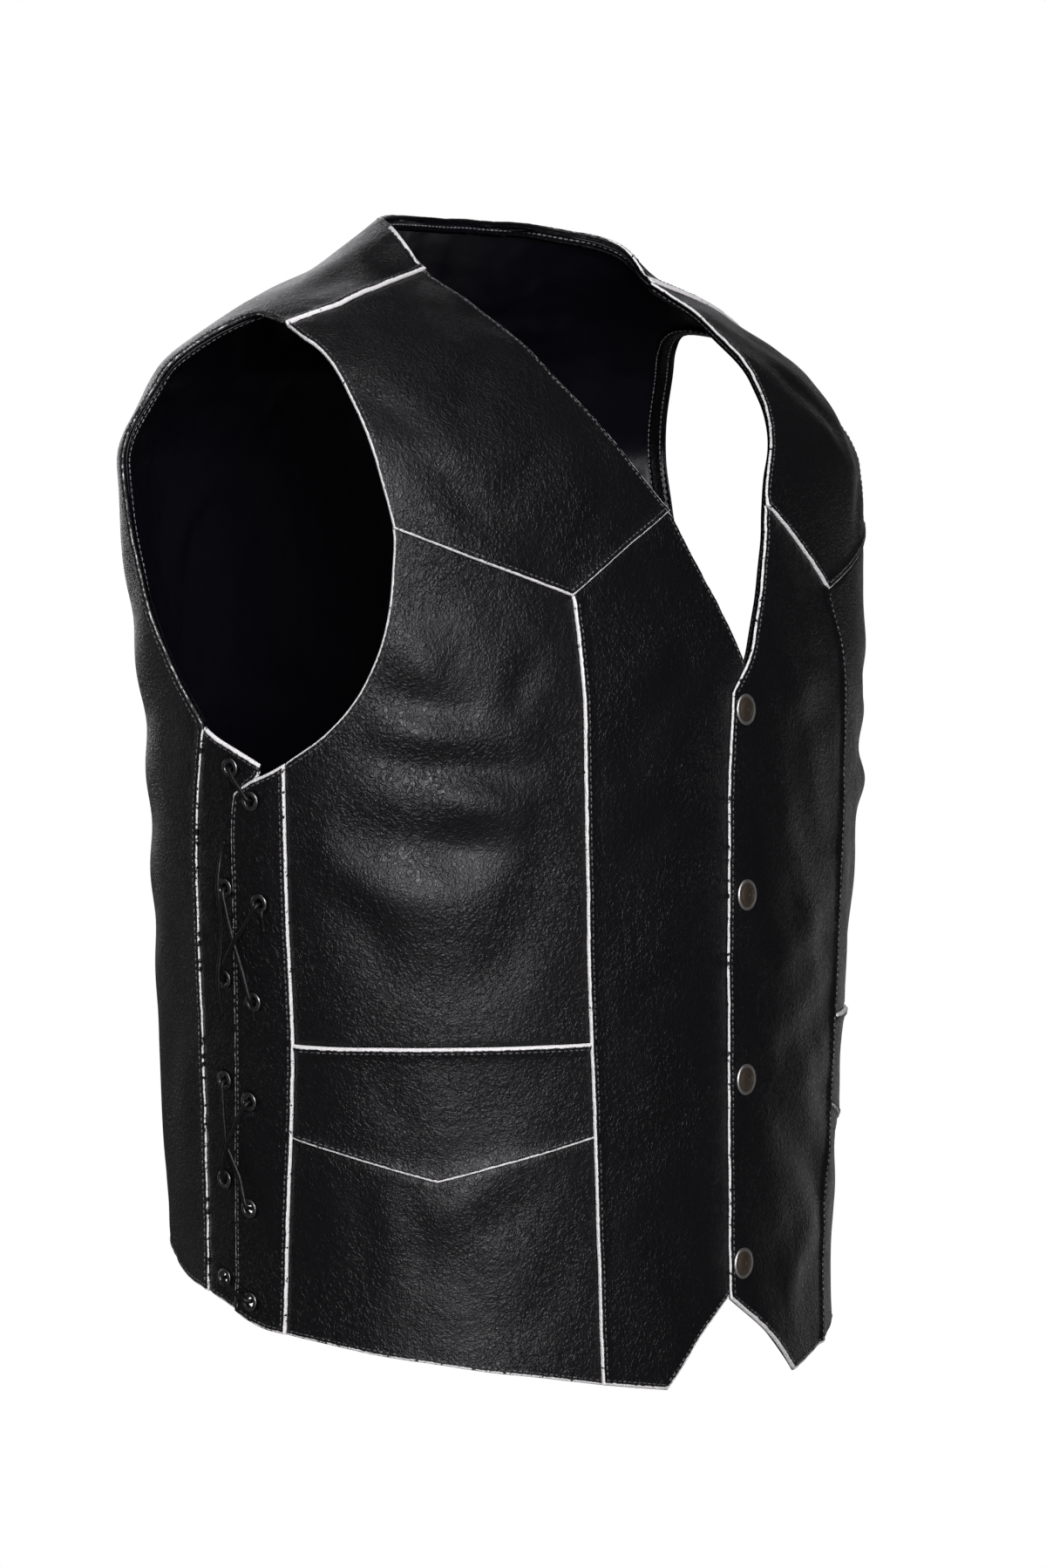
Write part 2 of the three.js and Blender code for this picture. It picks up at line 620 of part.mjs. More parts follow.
// Route stations [angle, height, distance from the form] for the whole lacing of one side.
function laceRoute() {
  const positionOf = ({ column: name, row }) => (name === "front" ? EYELETS_FRONT : EYELETS_BACK)[row];
  const part = (a, b, share) => [a[0] + (b[0] - a[0]) * share, a[1] + (b[1] - a[1]) * share];
  const beside = (here, other) => {
    const length = onBody(here, 1).distanceTo(onBody(other, 1));
    return part(here, other, LACE_BEND / length);
  };
  const below = ([angle, height], distance, level) => [angle, height - distance, level];
  const first = positionOf(LACING[0]);
  const last = positionOf(LACING[LACING.length - 1]);
  const route = LACE_ENDS.map((distance) => below(first, distance, LACE_LEVELS.front.inside)).reverse();
  LACING.forEach((stop, i) => {
    const here = positionOf(stop);
    const level = LACE_LEVELS[stop.column];
    const before = i ? positionOf(LACING[i - 1]) : below(first, LACE_ENDS[1]);
    const after = i < LACING.length - 1 ? positionOf(LACING[i + 1]) : below(last, LACE_ENDS[1]);
    const inwards = stop.way === "in";
    const outer = [...beside(here, inwards ? before : after), level.outside];
    const inner = [...beside(here, inwards ? after : before), level.inside];
    const through = [...here, level.through];
    if (inwards) {
      const start = LACE_LEVELS[LACING[i - 1].column].outside;
      for (const { share, weight, bowed } of STRAND_STATIONS) {
        const [angle, height] = part(before, here, share);
        const straight = start + (level.outside - start) * share;
        const distance = straight + (stop.over - straight) * weight;
        route.push([angle + (stop.bow ?? 0) * bowed, height, distance]);
      }
    } else if (i) {
      for (const share of LINK_STATIONS) route.push([...part(before, here, share), level.inside]);
    }
    route.push(...(inwards ? [outer, through, inner] : [inner, through, outer]));
  });
  return [...route, ...LACE_ENDS.map((distance) => below(last, distance, LACE_LEVELS.front.inside))];
}

// A line through given points, which a swept section passes one by one.
class Route extends THREE.Curve {
  constructor(points) {
    super();
    this.points = points;
    this.last = points.length - 1;
  }
  getPointAt(u) {
    return this.points[Math.round(u * this.last)].clone();
  }
  getTangentAt(u) {
    const k = Math.round(u * this.last);
    const step = (a) => this.points[a + 1].clone().sub(this.points[a]).normalize();
    const before = step(Math.max(k - 1, 0));
    return before.add(step(Math.min(k, this.last - 1))).normalize();
  }
}

function cord(route, sign, radius) {
  const points = route.map(([angle, height, distance]) =>
    lifted(place(onBody([angle, height], sign)), distance),
  );
  const round = Array.from({ length: ROUND_SIDES }, (_, k) => {
    const turn = (2 * Math.PI * k) / ROUND_SIDES;
    return new THREE.Vector2(radius * Math.cos(turn), radius * Math.sin(turn));
  });
  const settings = { extrudePath: new Route(points), steps: points.length - 1 };
  return new THREE.ExtrudeGeometry(new THREE.Shape(round), settings);
}

// The four fastened snaps down the centre front: a domed cap with its stem, and the stud inside.
function addSnaps() {
  SNAP_HEIGHTS.forEach((height, i) => {
    addTurned("snap_cap_" + (i + 1), CAP_PROFILE, SNAP_SIDES, [0, height], 1, SNAP_SEAT, AGED_BRASS);
    addTurned("snap_stud_" + (i + 1), STUD_PROFILE, SNAP_SIDES, [0, height], 1, -STUD_GAP, GUN_METAL);
  });
}

// The place of a row of places at a distance along it.
function along(row, distance) {
  const sums = lengthsAlong(row.map(({ at }) => at));
  let k = 0;
  while (k < row.length - 2 && sums[k + 1] < distance) k++;
  return between(row[k], row[k + 1], (distance - sums[k]) / (sums[k + 1] - sums[k]));
}

// A strip of leather on the lining, along the first places of the given rows.
function addFacing(name, rows) {
  const grid = rows.map((row) => FACING_STATIONS.map((share) => along(row, share)));
  add(name, wall([grid], -FACING_OUTSIDE - FACING, -FACING_OUTSIDE), BLACK_LEATHER);
}

function addLining(name, grids) {
  add(name, wall(grids, -LINING_OUTSIDE - LINING, -LINING_OUTSIDE), BLACK_SATIN);
}

function addBack() {
  const shoulder = ROWS.shoulder;
  const half = shoulder + ROWS.backNeck;
  const topLine = chain(run([...SHOULDER].reverse(), -1, shoulder), run(BACK_NECK, -1, ROWS.backNeck));
  const flank = chain(
    runAt([...ARMHOLE_BACK].reverse(), -1, BACK_ARMHOLE_SHARES),
    runAt(BACK_SEAM, -1, BACK_SEAM_SHARES),
  );
  const whole = (line) => chain(line, line.map(mirrored).reverse());
  const back = fill(whole(topLine), whole(run(HEM_BACK, -1, half)), flank, flank.map(mirrored));
  addPanel("back_panel", back);

  const onNeck = (column) => column >= shoulder && column <= 2 * half - shoulder;
  const armhole = (row) => (row <= BACK_ARMHOLE_ROWS ? LINING_INSET : SEAM_GAP / 2);
  const lining = inset(back, {
    top: (column) => (onNeck(column) ? LINING_INSET : SEAM_GAP / 2),
    bottom: LINING_INSET,
    left: armhole,
    right: armhole,
  });
  addLining("back_lining", [lining]);
  const columns = lining[0].map((_, i) => lining.map((row) => row[i]));
  addFacing("neck_facing_back", columns.filter((_, i) => onNeck(i)));
  return lining;
}

// One side's front lining, the facing of its neck, and the facing round its armhole, which goes
// over the shoulder and down the back.
function addFrontLining(side, grids, backLining) {
  const edge = SEAM_GAP / 2;
  const yoke = inset(grids.yoke, { top: edge, left: LINING_INSET, right: LINING_INSET });
  const upper = inset(grids.upper, { right: (row) => (row <= ROWS.armhole ? LINING_INSET : edge) });
  const band = inset(grids.band, { right: edge });
  const lower = inset(grids.lower, { right: edge, bottom: LINING_INSET });
  const centre = inset(grids.centre, { left: LINING_INSET, bottom: LINING_INSET });
  const neckRows = ROWS.neck - 1;
  const beside = centre.slice(neckRows).map((row) => row.slice(1));
  addLining("front_lining_" + side, [yoke, upper, band, lower, centre.slice(0, neckRows + 1), beside]);
  addFacing("neck_facing_" + side, [...yoke, ...centre.slice(1, neckRows + 1)]);

  const fromArmhole = (row) => [...row].reverse();
  const front = [...upper.slice(1, ROWS.armhole + 1).reverse(), ...[...yoke].reverse()].map(fromArmhole);
  const back = backLining.slice(1, BACK_ARMHOLE_ROWS + 1);
  addFacing("armhole_facing_" + side, [...front, ...(side === "right" ? back : back.map(fromArmhole))]);
}

const backLining = addBack();
for (const side of ["right", "left"]) {
  const grids = frontGrids(side);
  addFront(side, grids);
  addFrontLining(side, grids, backLining);
  addSide(side, grids);
}
addSnaps();

export default group;
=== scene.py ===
"""A worn-shape black leather vest with laced sides, on a pale floor.

Lengths are millimetres until a mesh is made, where they become metres. The front faces -Y, +X is
the wearer's left, +Z is up, and height 0 is where the shoulders carry the vest. Places on the
vest are written as pairs of an angle round the body, in degrees from the centre front to the
piece's own side, and a height.
"""

import logging
import math
from dataclasses import dataclass, field
from enum import Enum
from typing import Callable, Optional, Sequence

import bpy
import numpy as np
from mathutils import Matrix, Vector
from mathutils.bvhtree import BVHTree


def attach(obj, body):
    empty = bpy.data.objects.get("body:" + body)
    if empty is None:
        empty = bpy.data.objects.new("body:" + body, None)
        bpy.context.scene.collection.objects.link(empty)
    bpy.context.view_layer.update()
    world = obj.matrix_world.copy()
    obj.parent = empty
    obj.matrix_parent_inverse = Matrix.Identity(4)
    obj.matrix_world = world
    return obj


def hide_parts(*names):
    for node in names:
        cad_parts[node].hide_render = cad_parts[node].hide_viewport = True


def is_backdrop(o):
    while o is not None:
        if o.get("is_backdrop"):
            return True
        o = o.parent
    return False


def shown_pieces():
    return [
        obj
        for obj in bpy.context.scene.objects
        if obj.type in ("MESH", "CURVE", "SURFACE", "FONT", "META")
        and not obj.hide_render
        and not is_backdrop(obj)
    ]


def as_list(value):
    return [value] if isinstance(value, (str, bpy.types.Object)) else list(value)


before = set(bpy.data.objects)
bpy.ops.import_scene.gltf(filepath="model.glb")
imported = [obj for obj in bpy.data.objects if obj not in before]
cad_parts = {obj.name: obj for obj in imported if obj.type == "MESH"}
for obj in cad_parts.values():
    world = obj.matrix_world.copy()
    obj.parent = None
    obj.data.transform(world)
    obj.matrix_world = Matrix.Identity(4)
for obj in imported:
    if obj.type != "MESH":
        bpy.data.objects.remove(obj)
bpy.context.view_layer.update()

log = logging.getLogger("vest")

Array = np.ndarray
Material = bpy.types.Material
Pair = tuple[float, float]
Station = tuple[float, float, float]
Colour = Station
WHITE = (1, 1, 1, 1)
MM = 0.001
FAR = 99.0
TINY = 1e-9
FLAT_SLACK = 1.01
COARSE_STEP = 8.0
FINE_STEP = 1.6
CHUNK = 4096

SECTIONS = (
    (45, 49, 31, 31), (30, 79, 27, 40), (15, 103, 27, 52), (0, 126, 32, 67), (-25, 186, 65, 91),
    (-60, 240, 108, 121), (-110, 262, 141, 140), (-170, 255, 150, 138), (-240, 241, 161, 136),
    (-320, 229, 162, 141), (-400, 216, 162, 149), (-480, 206, 161, 153), (-560, 199, 160, 150),
    (-620, 202, 160, 142),
)
FRONT_EXPONENT = 2.3
BACK_EXPONENT = 2.4

SHOULDER = ((46, -5), (56, -14), (64, -22), (71, -30), (81, -37))
ARMHOLE_FRONT = (
    (81, -37), (72.5, -44), (66.8, -50), (61.8, -61), (58.5, -76), (56, -95), (54.4, -118),
    (53.4, -143), (54.4, -163), (56.3, -185), (59.8, -208), (65, -231), (71.5, -250), (79.3, -265),
)
ARMHOLE_BACK = (
    (93.4, -247), (95.7, -237), (99, -223), (102.7, -205), (106, -186), (108.4, -168),
    (110.7, -150), (112.5, -128), (113.8, -104), (113, -80), (109.5, -55), (104, -39), (97, -31),
    (89, -33), (81, -37),
)
BACK_NECK = ((46, -5), (60, 6), (75, 14), (90, 19), (112, 25), (135, 28), (158, 29), (180, 29))
SIDE_SEAM = (
    (79.3, -265), (80.4, -305), (81.8, -358), (83, -414), (84.8, -465), (87, -524), (88, -571),
)
LACE_FRONT_TOP = ((79.3, -265), (82.5, -270), (86, -274.5), (89, -281))
LACE_FRONT_EDGE = (
    (89, -281), (89.5, -290), (90, -305), (90.5, -333), (91.7, -375), (93, -420), (94.5, -470),
    (96, -520), (97.2, -561),
)
LACE_FRONT_HEM = ((88, -571), (91, -569), (94.5, -565), (97.2, -561))
LACE_BACK_TOP = ((84.2, -266), (87.5, -260), (90.5, -253.5), (93.4, -247))
LACE_BACK_EDGE = (
    (84.2, -266), (84.8, -273), (88.2, -283), (89, -305), (89.6, -333), (90.7, -375), (92, -420),
    (93.5, -470), (95, -520), (96.1, -562),
)
LACE_BACK_HEM = ((96.1, -562), (99, -559), (102, -556), (105.3, -553))
BACK_SEAM = (
    (93.4, -247), (96.3, -283), (97.8, -311), (100, -367), (101.5, -424), (103, -481),
    (105.3, -553),
)
HEM_BACK = ((105.3, -553), (116, -547), (128, -537), (150, -530), (180, -528))
HEM_SIDE = (
    (27.4, -597), (39, -591), (49, -587), (58, -583), (69, -579), (79.4, -574.5), (88, -571),
)
POCKET_MOUTH = ((28.6, -414), (43, -414), (62, -414), (83, -414))
POCKET_V_FRONT = ((28.5, -465), (38, -472), (48, -479), (57.6, -486))
POCKET_V_SIDE = ((57.6, -486), (66, -479.5), (75, -472.5), (84.8, -465))
PRINCESS_BELOW_TIP = (
    (26.3, -215), (27.4, -280), (28.3, -350), (28.6, -414), (28.5, -465), (28.3, -530),
    (27.4, -597),
)
PRINCESS_MOUTH = 4
PRINCESS_V = 5
SIDE_MOUTH = 3
SIDE_V = 4
CHEVRON_ARM = 7
CHEVRON_NECK = 7

EYELETS_FRONT = (
    (86, -285), (86.3, -339), (89.2, -392), (91, -446), (92.4, -504), (93.4, -555),
)
EYELETS_BACK = (
    (89.4, -268), (92.1, -332), (94.3, -381), (96.2, -436), (98, -490), (100, -544),
)
SNAP_HEIGHTS = (-241, -341, -441, -541)
EYELET_HOLE = 3.9


class Side(Enum):
    """The wearer's right or left, with the sign of X there."""

    RIGHT = -1
    LEFT = 1

    @property
    def label(self) -> str:
        """The word that ends a piece's name."""
        return self.name.lower()


@dataclass(frozen=True)
class FrontShape:
    """What differs between the two fronts."""

    neck: tuple[Pair, ...]
    tip: Pair
    edge: tuple[Pair, ...]
    point: Pair


FRONTS = {
    Side.RIGHT: FrontShape(
        neck=(
            (46, -5), (40, -11), (30.2, -23), (23.7, -39), (19.9, -59), (16.5, -80),
            (12.6, -106), (7.2, -134), (5.3, -149), (3.1, -167), (1, -186), (-0.6, -210),
            (-1.6, -226),
        ),
        tip=(25.3, -179),
        edge=((-1.6, -226), (-2, -270), (-2.4, -350), (-2.4, -430), (-1.9, -510), (-1.6, -546)),
        point=(14, -604),
    ),
    Side.LEFT: FrontShape(
        neck=(
            (46, -5), (40, -13), (31.2, -27), (25.2, -41), (20.6, -59), (15.4, -83),
            (10.2, -108), (8.2, -131), (7.4, -150), (6, -169), (4.2, -187), (1.6, -212),
            (-1.2, -232),
        ),
        tip=(22.6, -178),
        edge=((-1.2, -232), (-2, -270), (-2.5, -350), (-2.5, -430), (-2, -510), (-1.6, -560)),
        point=(13.9, -607),
    ),
}


@dataclass(frozen=True)
class Layers:
    """Thicknesses and distances of the sheets from the body form, in millimetres.

    Attributes:
        leather: Thickness of the outer leather.
        lining_outside: From the form in to the lining.
        lining: Thickness of the lining.
        facing_outside: From the form in to the facings.
        facing: Thickness of the facings.
        overlap: How far the left front and the front lacing panels are raised.
        seam: Half the gap at a seam.
        lip: How far a lapping edge stands above the sheet beside it.
        lip_width: How far from its edge that rise runs out.
        rim: Radius of the rounded edges.
        inset: From the leather's edge to the lining's.
        strip: Width of the facings.
    """

    leather: float = 1.4
    lining_outside: float = 1.6
    lining: float = 1.0
    facing_outside: float = 3.5
    facing: float = 1.2
    overlap: float = 2.1
    seam: float = 0.12
    lip: float = 1.3
    lip_width: float = 6.5
    rim: float = 1.1
    inset: float = 4.0
    strip: float = 17.5


LAYERS = Layers()


def smoothstep(x: Array, low: float, high: float) -> Array:
    """A smooth rise from 0 at low to 1 at high."""
    t = np.clip((x - low) / (high - low), 0, 1)
    return t * t * (3 - 2 * t)


def norm(vectors: Array) -> Array:
    """Lengths of vectors."""
    return np.linalg.norm(vectors, axis=-1)


def unit(vectors: Array) -> Array:
    """Vectors brought to length 1."""
    return vectors / norm(vectors)[..., None]


class Column:
    """One measure of the form's sections as a smooth function of height.

    Between two sections it is a cubic whose slopes are harmonic means of the neighbouring rises,
    so it never overshoots.
    """

    def __init__(self, index: int) -> None:
        """Args: index is the measure's place in a row of SECTIONS."""
        rows = sorted(SECTIONS)
        self.x = np.array([row[0] for row in rows], float)
        self.y = np.array([row[index] for row in rows], float)
        step = np.diff(self.x)
        rise = np.diff(self.y) / step
        a = 2 * step[1:] + step[:-1]
        b = step[1:] + 2 * step[:-1]
        same = rise[:-1] * rise[1:] > 0
        safe_before = np.where(same, rise[:-1], 1)
        safe_after = np.where(same, rise[1:], 1)
        inner = np.where(same, (a + b) / (a / safe_before + b / safe_after), 0)
        self.slope = np.concatenate([[rise[0]], inner, [rise[-1]]])

    def __call__(self, at: Array) -> Array:
        """The measure at given heights."""
        h = np.clip(at, self.x[0], self.x[-1])
        k = np.clip(np.searchsorted(self.x, h, side="left") - 1, 0, len(self.x) - 2)
        step = self.x[k + 1] - self.x[k]
        t = (h - self.x[k]) / step
        u = 1 - t
        ends = self.y[k] * (1 + 2 * t) * u * u + self.y[k + 1] * t * t * (3 - 2 * t)
        return ends + step * t * u * (self.slope[k] * u - self.slope[k + 1] * t)


class BodyForm:
    """The form that every sheet lies on: superelliptic sections, deeper behind than before."""

    SETTLING_STEPS = 10
    SLOPE_STEP = 0.05

    def __init__(self) -> None:
        """Makes the three measures of the sections."""
        self.half = Column(1)
        self.front = Column(2)
        self.back = Column(3)

    def on(self, pairs: Array, side: Side) -> Array:
        """Points of the form.

        Args:
            pairs: Angles in degrees and heights, as rows.
            side: The side of the body that the angles go round to.

        Returns:
            One point for each row.
        """
        pairs = np.asarray(pairs, float)
        a = np.radians(pairs[..., 0])
        z = pairs[..., 1]
        s, c = np.sin(a), np.cos(a)
        power = 2 / np.where(c > 0, FRONT_EXPONENT, BACK_EXPONENT)
        depth = np.where(c > 0, -self.front(z), self.back(z))
        x = side.value * self.half(z) * np.sign(s) * np.abs(s) ** power
        return np.stack([x, depth * np.abs(c) ** power, z], axis=-1)

    def beyond(self, p: Array) -> Array:
        """How far points are outside the form, as a share: 0 on it and below 0 inside."""
        x, y, z = p[..., 0], p[..., 1], p[..., 2]
        power = np.where(y < 0, FRONT_EXPONENT, BACK_EXPONENT)
        depth = np.where(y < 0, self.front(z), self.back(z))
        return (np.abs(x) / self.half(z)) ** power + (np.abs(y) / depth) ** power - 1

    def slope(self, p: Array) -> Array:
        """The direction and rate in which the points leave the form."""
        parts = []
        for axis in range(3):
            step = np.zeros(3)
            step[axis] = self.SLOPE_STEP
            parts.append((self.beyond(p + step) - self.beyond(p - step)) / (2 * self.SLOPE_STEP))
        return np.stack(parts, axis=-1)

    def settle(self, p: Array) -> tuple[Array, Array]:
        """Moves points along the form's slope until they lie on it.

        Returns:
            The points on the form, and the unit directions out of it there.
        """
        at = np.array(p, float)
        for _ in range(self.SETTLING_STEPS):
            g = self.slope(at)
            at -= g * (self.beyond(at) / np.sum(g * g, axis=-1))[..., None]
        g = self.slope(at)
        return at, unit(g)


FORM = BodyForm()


def lengths_along(points: Array) -> Array:
    """Sums of the distances between neighbouring points, from 0."""
    steps = norm(np.diff(points, axis=0))
    return np.concatenate([[0], np.cumsum(steps)])


def resample(points: Array, lengths: Array) -> Array:
    """Points of a polyline at given lengths along it."""
    sums = lengths_along(points)
    return np.stack([np.interp(lengths, sums, points[:, k]) for k in range(3)], axis=-1)


def spline(points: Array, per_span: int) -> Array:
    """Points of the even Catmull-Rom curve through given points.

    Each span is the cubic that leaves and enters its ends along half the chord of their
    neighbours; beyond the ends the line is taken as straight.
    """
    p = np.asarray(points, float)
    padded = np.vstack([2 * p[0] - p[1], p, 2 * p[-1] - p[-2]])
    spans = len(p) - 1
    u = np.linspace(0, spans, spans * per_span + 1)
    k = np.minimum(u.astype(int), spans - 1)
    t = (u - k)[:, None]
    a, b, c, d = (padded[k + j] for j in range(4))
    start, end = (c - a) / 2, (d - b) / 2
    h = t * t * (3 - 2 * t)
    return b * (1 - h) + c * h + start * (t * (1 - t) ** 2) + end * (t * t * (t - 1))


class Border:
    """A border of a sheet as a line that is measured in rows.

    Attributes:
        fine: Points on the form, PER_ROW for each row.
        rows: How many rows the border has.
    """

    PER_ROW = 24
    PER_SPAN = 16

    def __init__(self, fine: Array) -> None:
        """Args: fine holds the border's points."""
        self.fine = fine
        self.rows = (len(fine) - 1) // self.PER_ROW

    @classmethod
    def run(
        cls,
        line: Sequence[Pair],
        side: Side,
        rows: int,
        first: int = 0,
        last: Optional[int] = None,
        shares: Optional[Sequence[float]] = None,
    ) -> "Border":
        """A border along a pattern line.

        Args:
            line: The pattern line's pairs.
            side: The body's side.
            rows: How many rows the border takes.
            first: The pair that it starts from.
            last: The pair that it ends at.
            shares: Shares of the length where the rows lie; even where left out.

        Returns:
            The border.
        """
        last = len(line) - 1 if last is None else last
        whole = spline(FORM.on(np.array(line, float), side), cls.PER_SPAN)
        part = whole[first * cls.PER_SPAN : last * cls.PER_SPAN + 1]
        at = np.linspace(0, rows, rows * cls.PER_ROW + 1)
        if shares is not None:
            at = np.interp(at, np.arange(rows + 1), np.array(shares) * rows)
        fine = resample(part, at / rows * lengths_along(part)[-1])
        return cls(FORM.settle(fine)[0])

    @classmethod
    def chain(cls, *parts: "Border") -> "Border":
        """Borders one after the other."""
        return cls(np.vstack([p.fine if i == 0 else p.fine[1:] for i, p in enumerate(parts)]))

    def back(self) -> "Border":
        """The border from its end to its start."""
        return Border(self.fine[::-1])

    def mirrored(self) -> "Border":
        """The border on the body's other side."""
        return Border(self.fine * np.array([-1, 1, 1]))

    def at(self, rows: Array) -> Array:
        """Points at given row numbers."""
        where = np.arange(len(self.fine)) / self.PER_ROW
        return np.stack([np.interp(rows, where, self.fine[:, k]) for k in range(3)], axis=-1)

    def share(self, rows: Array) -> Array:
        """Shares of the whole length at given row numbers."""
        sums = lengths_along(self.fine)
        return np.interp(rows, np.arange(len(self.fine)) / self.PER_ROW, sums / sums[-1])


def feet(points: Array, line: Array) -> tuple[Array, Array]:
    """How points lie to each stretch of a polyline.

    The foot of the perpendicular is clamped to the stretch.

    Args:
        points: Points in space.
        line: The polyline's points.

    Returns:
        Distances to the feet, by point and stretch, and where the feet are, as shares.
    """
    a, ab = line[:-1], np.diff(line, axis=0)
    size = np.maximum(np.sum(ab * ab, axis=1), TINY)
    t = np.clip(((points[:, None, :] - a) * ab).sum(-1) / size, 0, 1)
    return norm(points[:, None, :] - (a + t[..., None] * ab)), t


def distance_to(points: Array, line: Array, reach: float = 16.0) -> Array:
    """The distances from points to a polyline: to the nearest of its feet.

    Args:
        points: Points in space.
        line: The polyline's points.
        reach: Beyond this distance a point just gets FAR.

    Returns:
        One distance for each point.
    """
    total = lengths_along(line)[-1]
    coarse = resample(line, np.linspace(0, total, max(int(total / COARSE_STEP), 2)))
    fine = resample(line, np.linspace(0, total, max(int(total / FINE_STEP), 4)))
    flat = points.reshape(-1, 3)
    rough = np.full(len(flat), FAR)
    for spot in coarse:
        rough = np.minimum(rough, norm(flat - spot))
    near = np.flatnonzero(rough < reach + COARSE_STEP)
    best = np.full(len(flat), FAR)
    for start in range(0, len(near), CHUNK):
        rows = near[start : start + CHUNK]
        best[rows] = feet(flat[rows], fine)[0].min(axis=1)
    return best.reshape(points.shape[:-1])


@dataclass(frozen=True)
class Crease:
    """A soft trough or ridge along a line of the body.

    Attributes:
        line: Pairs of angle and height that it follows.
        width: How far from its middle it falls to a third, in millimetres.
        depth: Height of its middle; below 0 for a trough.
        side: The body's side.
        lip: Height of the soft rise beside it, as a share of its depth.
        samples: Points of its whole line.
        least: Points of each span of it at least.
        reach: How far it is felt, in widths.
        lip_at: Where the rise beside it stands, in widths.
        lip_width: Width of that rise, in widths.
        fading: Power of the sine by which it fades along its line; a low one fades late.
    """

    line: tuple[Pair, ...]
    width: float
    depth: float
    side: Side
    lip: float = 0.35
    samples: int = 18
    least: int = 4
    reach: float = 3.6
    lip_at: float = 1.9
    lip_width: float = 1.1
    fading: float = 0.75

    def height(self, points: Array) -> Array:
        """How far the crease moves points of the form.

        The profile across is a bell of the crease's width, with a lower bell of the other sign
        on each flank; along it, the height fades to nothing at both ends.

        Args:
            points: Points on the form.

        Returns:
            One height for each point.
        """
        spans = max(len(self.line) - 1, 1)
        per_span = max(self.samples // spans, self.least)
        line = FORM.settle(spline(FORM.on(np.array(self.line, float), self.side), per_span))[0]
        reach = self.reach * self.width
        low, high = line.min(axis=0) - reach, line.max(axis=0) + reach
        near = np.all((points > low) & (points < high), axis=-1)
        out = np.zeros(points.shape[:-1])
        if not near.any():
            return out
        p = points[near]
        d, t = feet(p, line)
        k = d.argmin(axis=1)
        rows = np.arange(len(p))
        along = (k + t[rows, k]) / t.shape[1]
        across = d[rows, k] / self.width
        bell = np.exp(-(across**2))
        flank = np.exp(-(((across - self.lip_at) / self.lip_width) ** 2))
        fade = np.sin(np.pi * np.clip(along, 0, 1)) ** self.fading
        out[near] = self.depth * fade * (bell - self.lip * flank)
        return out


R, L = Side.RIGHT, Side.LEFT


def creases(side: Side, *rows: tuple[tuple[Pair, ...], float, float]) -> list[Crease]:
    """Creases of one side, each from its line, width and depth."""
    return [Crease(line, width, depth, side) for line, width, depth in rows]


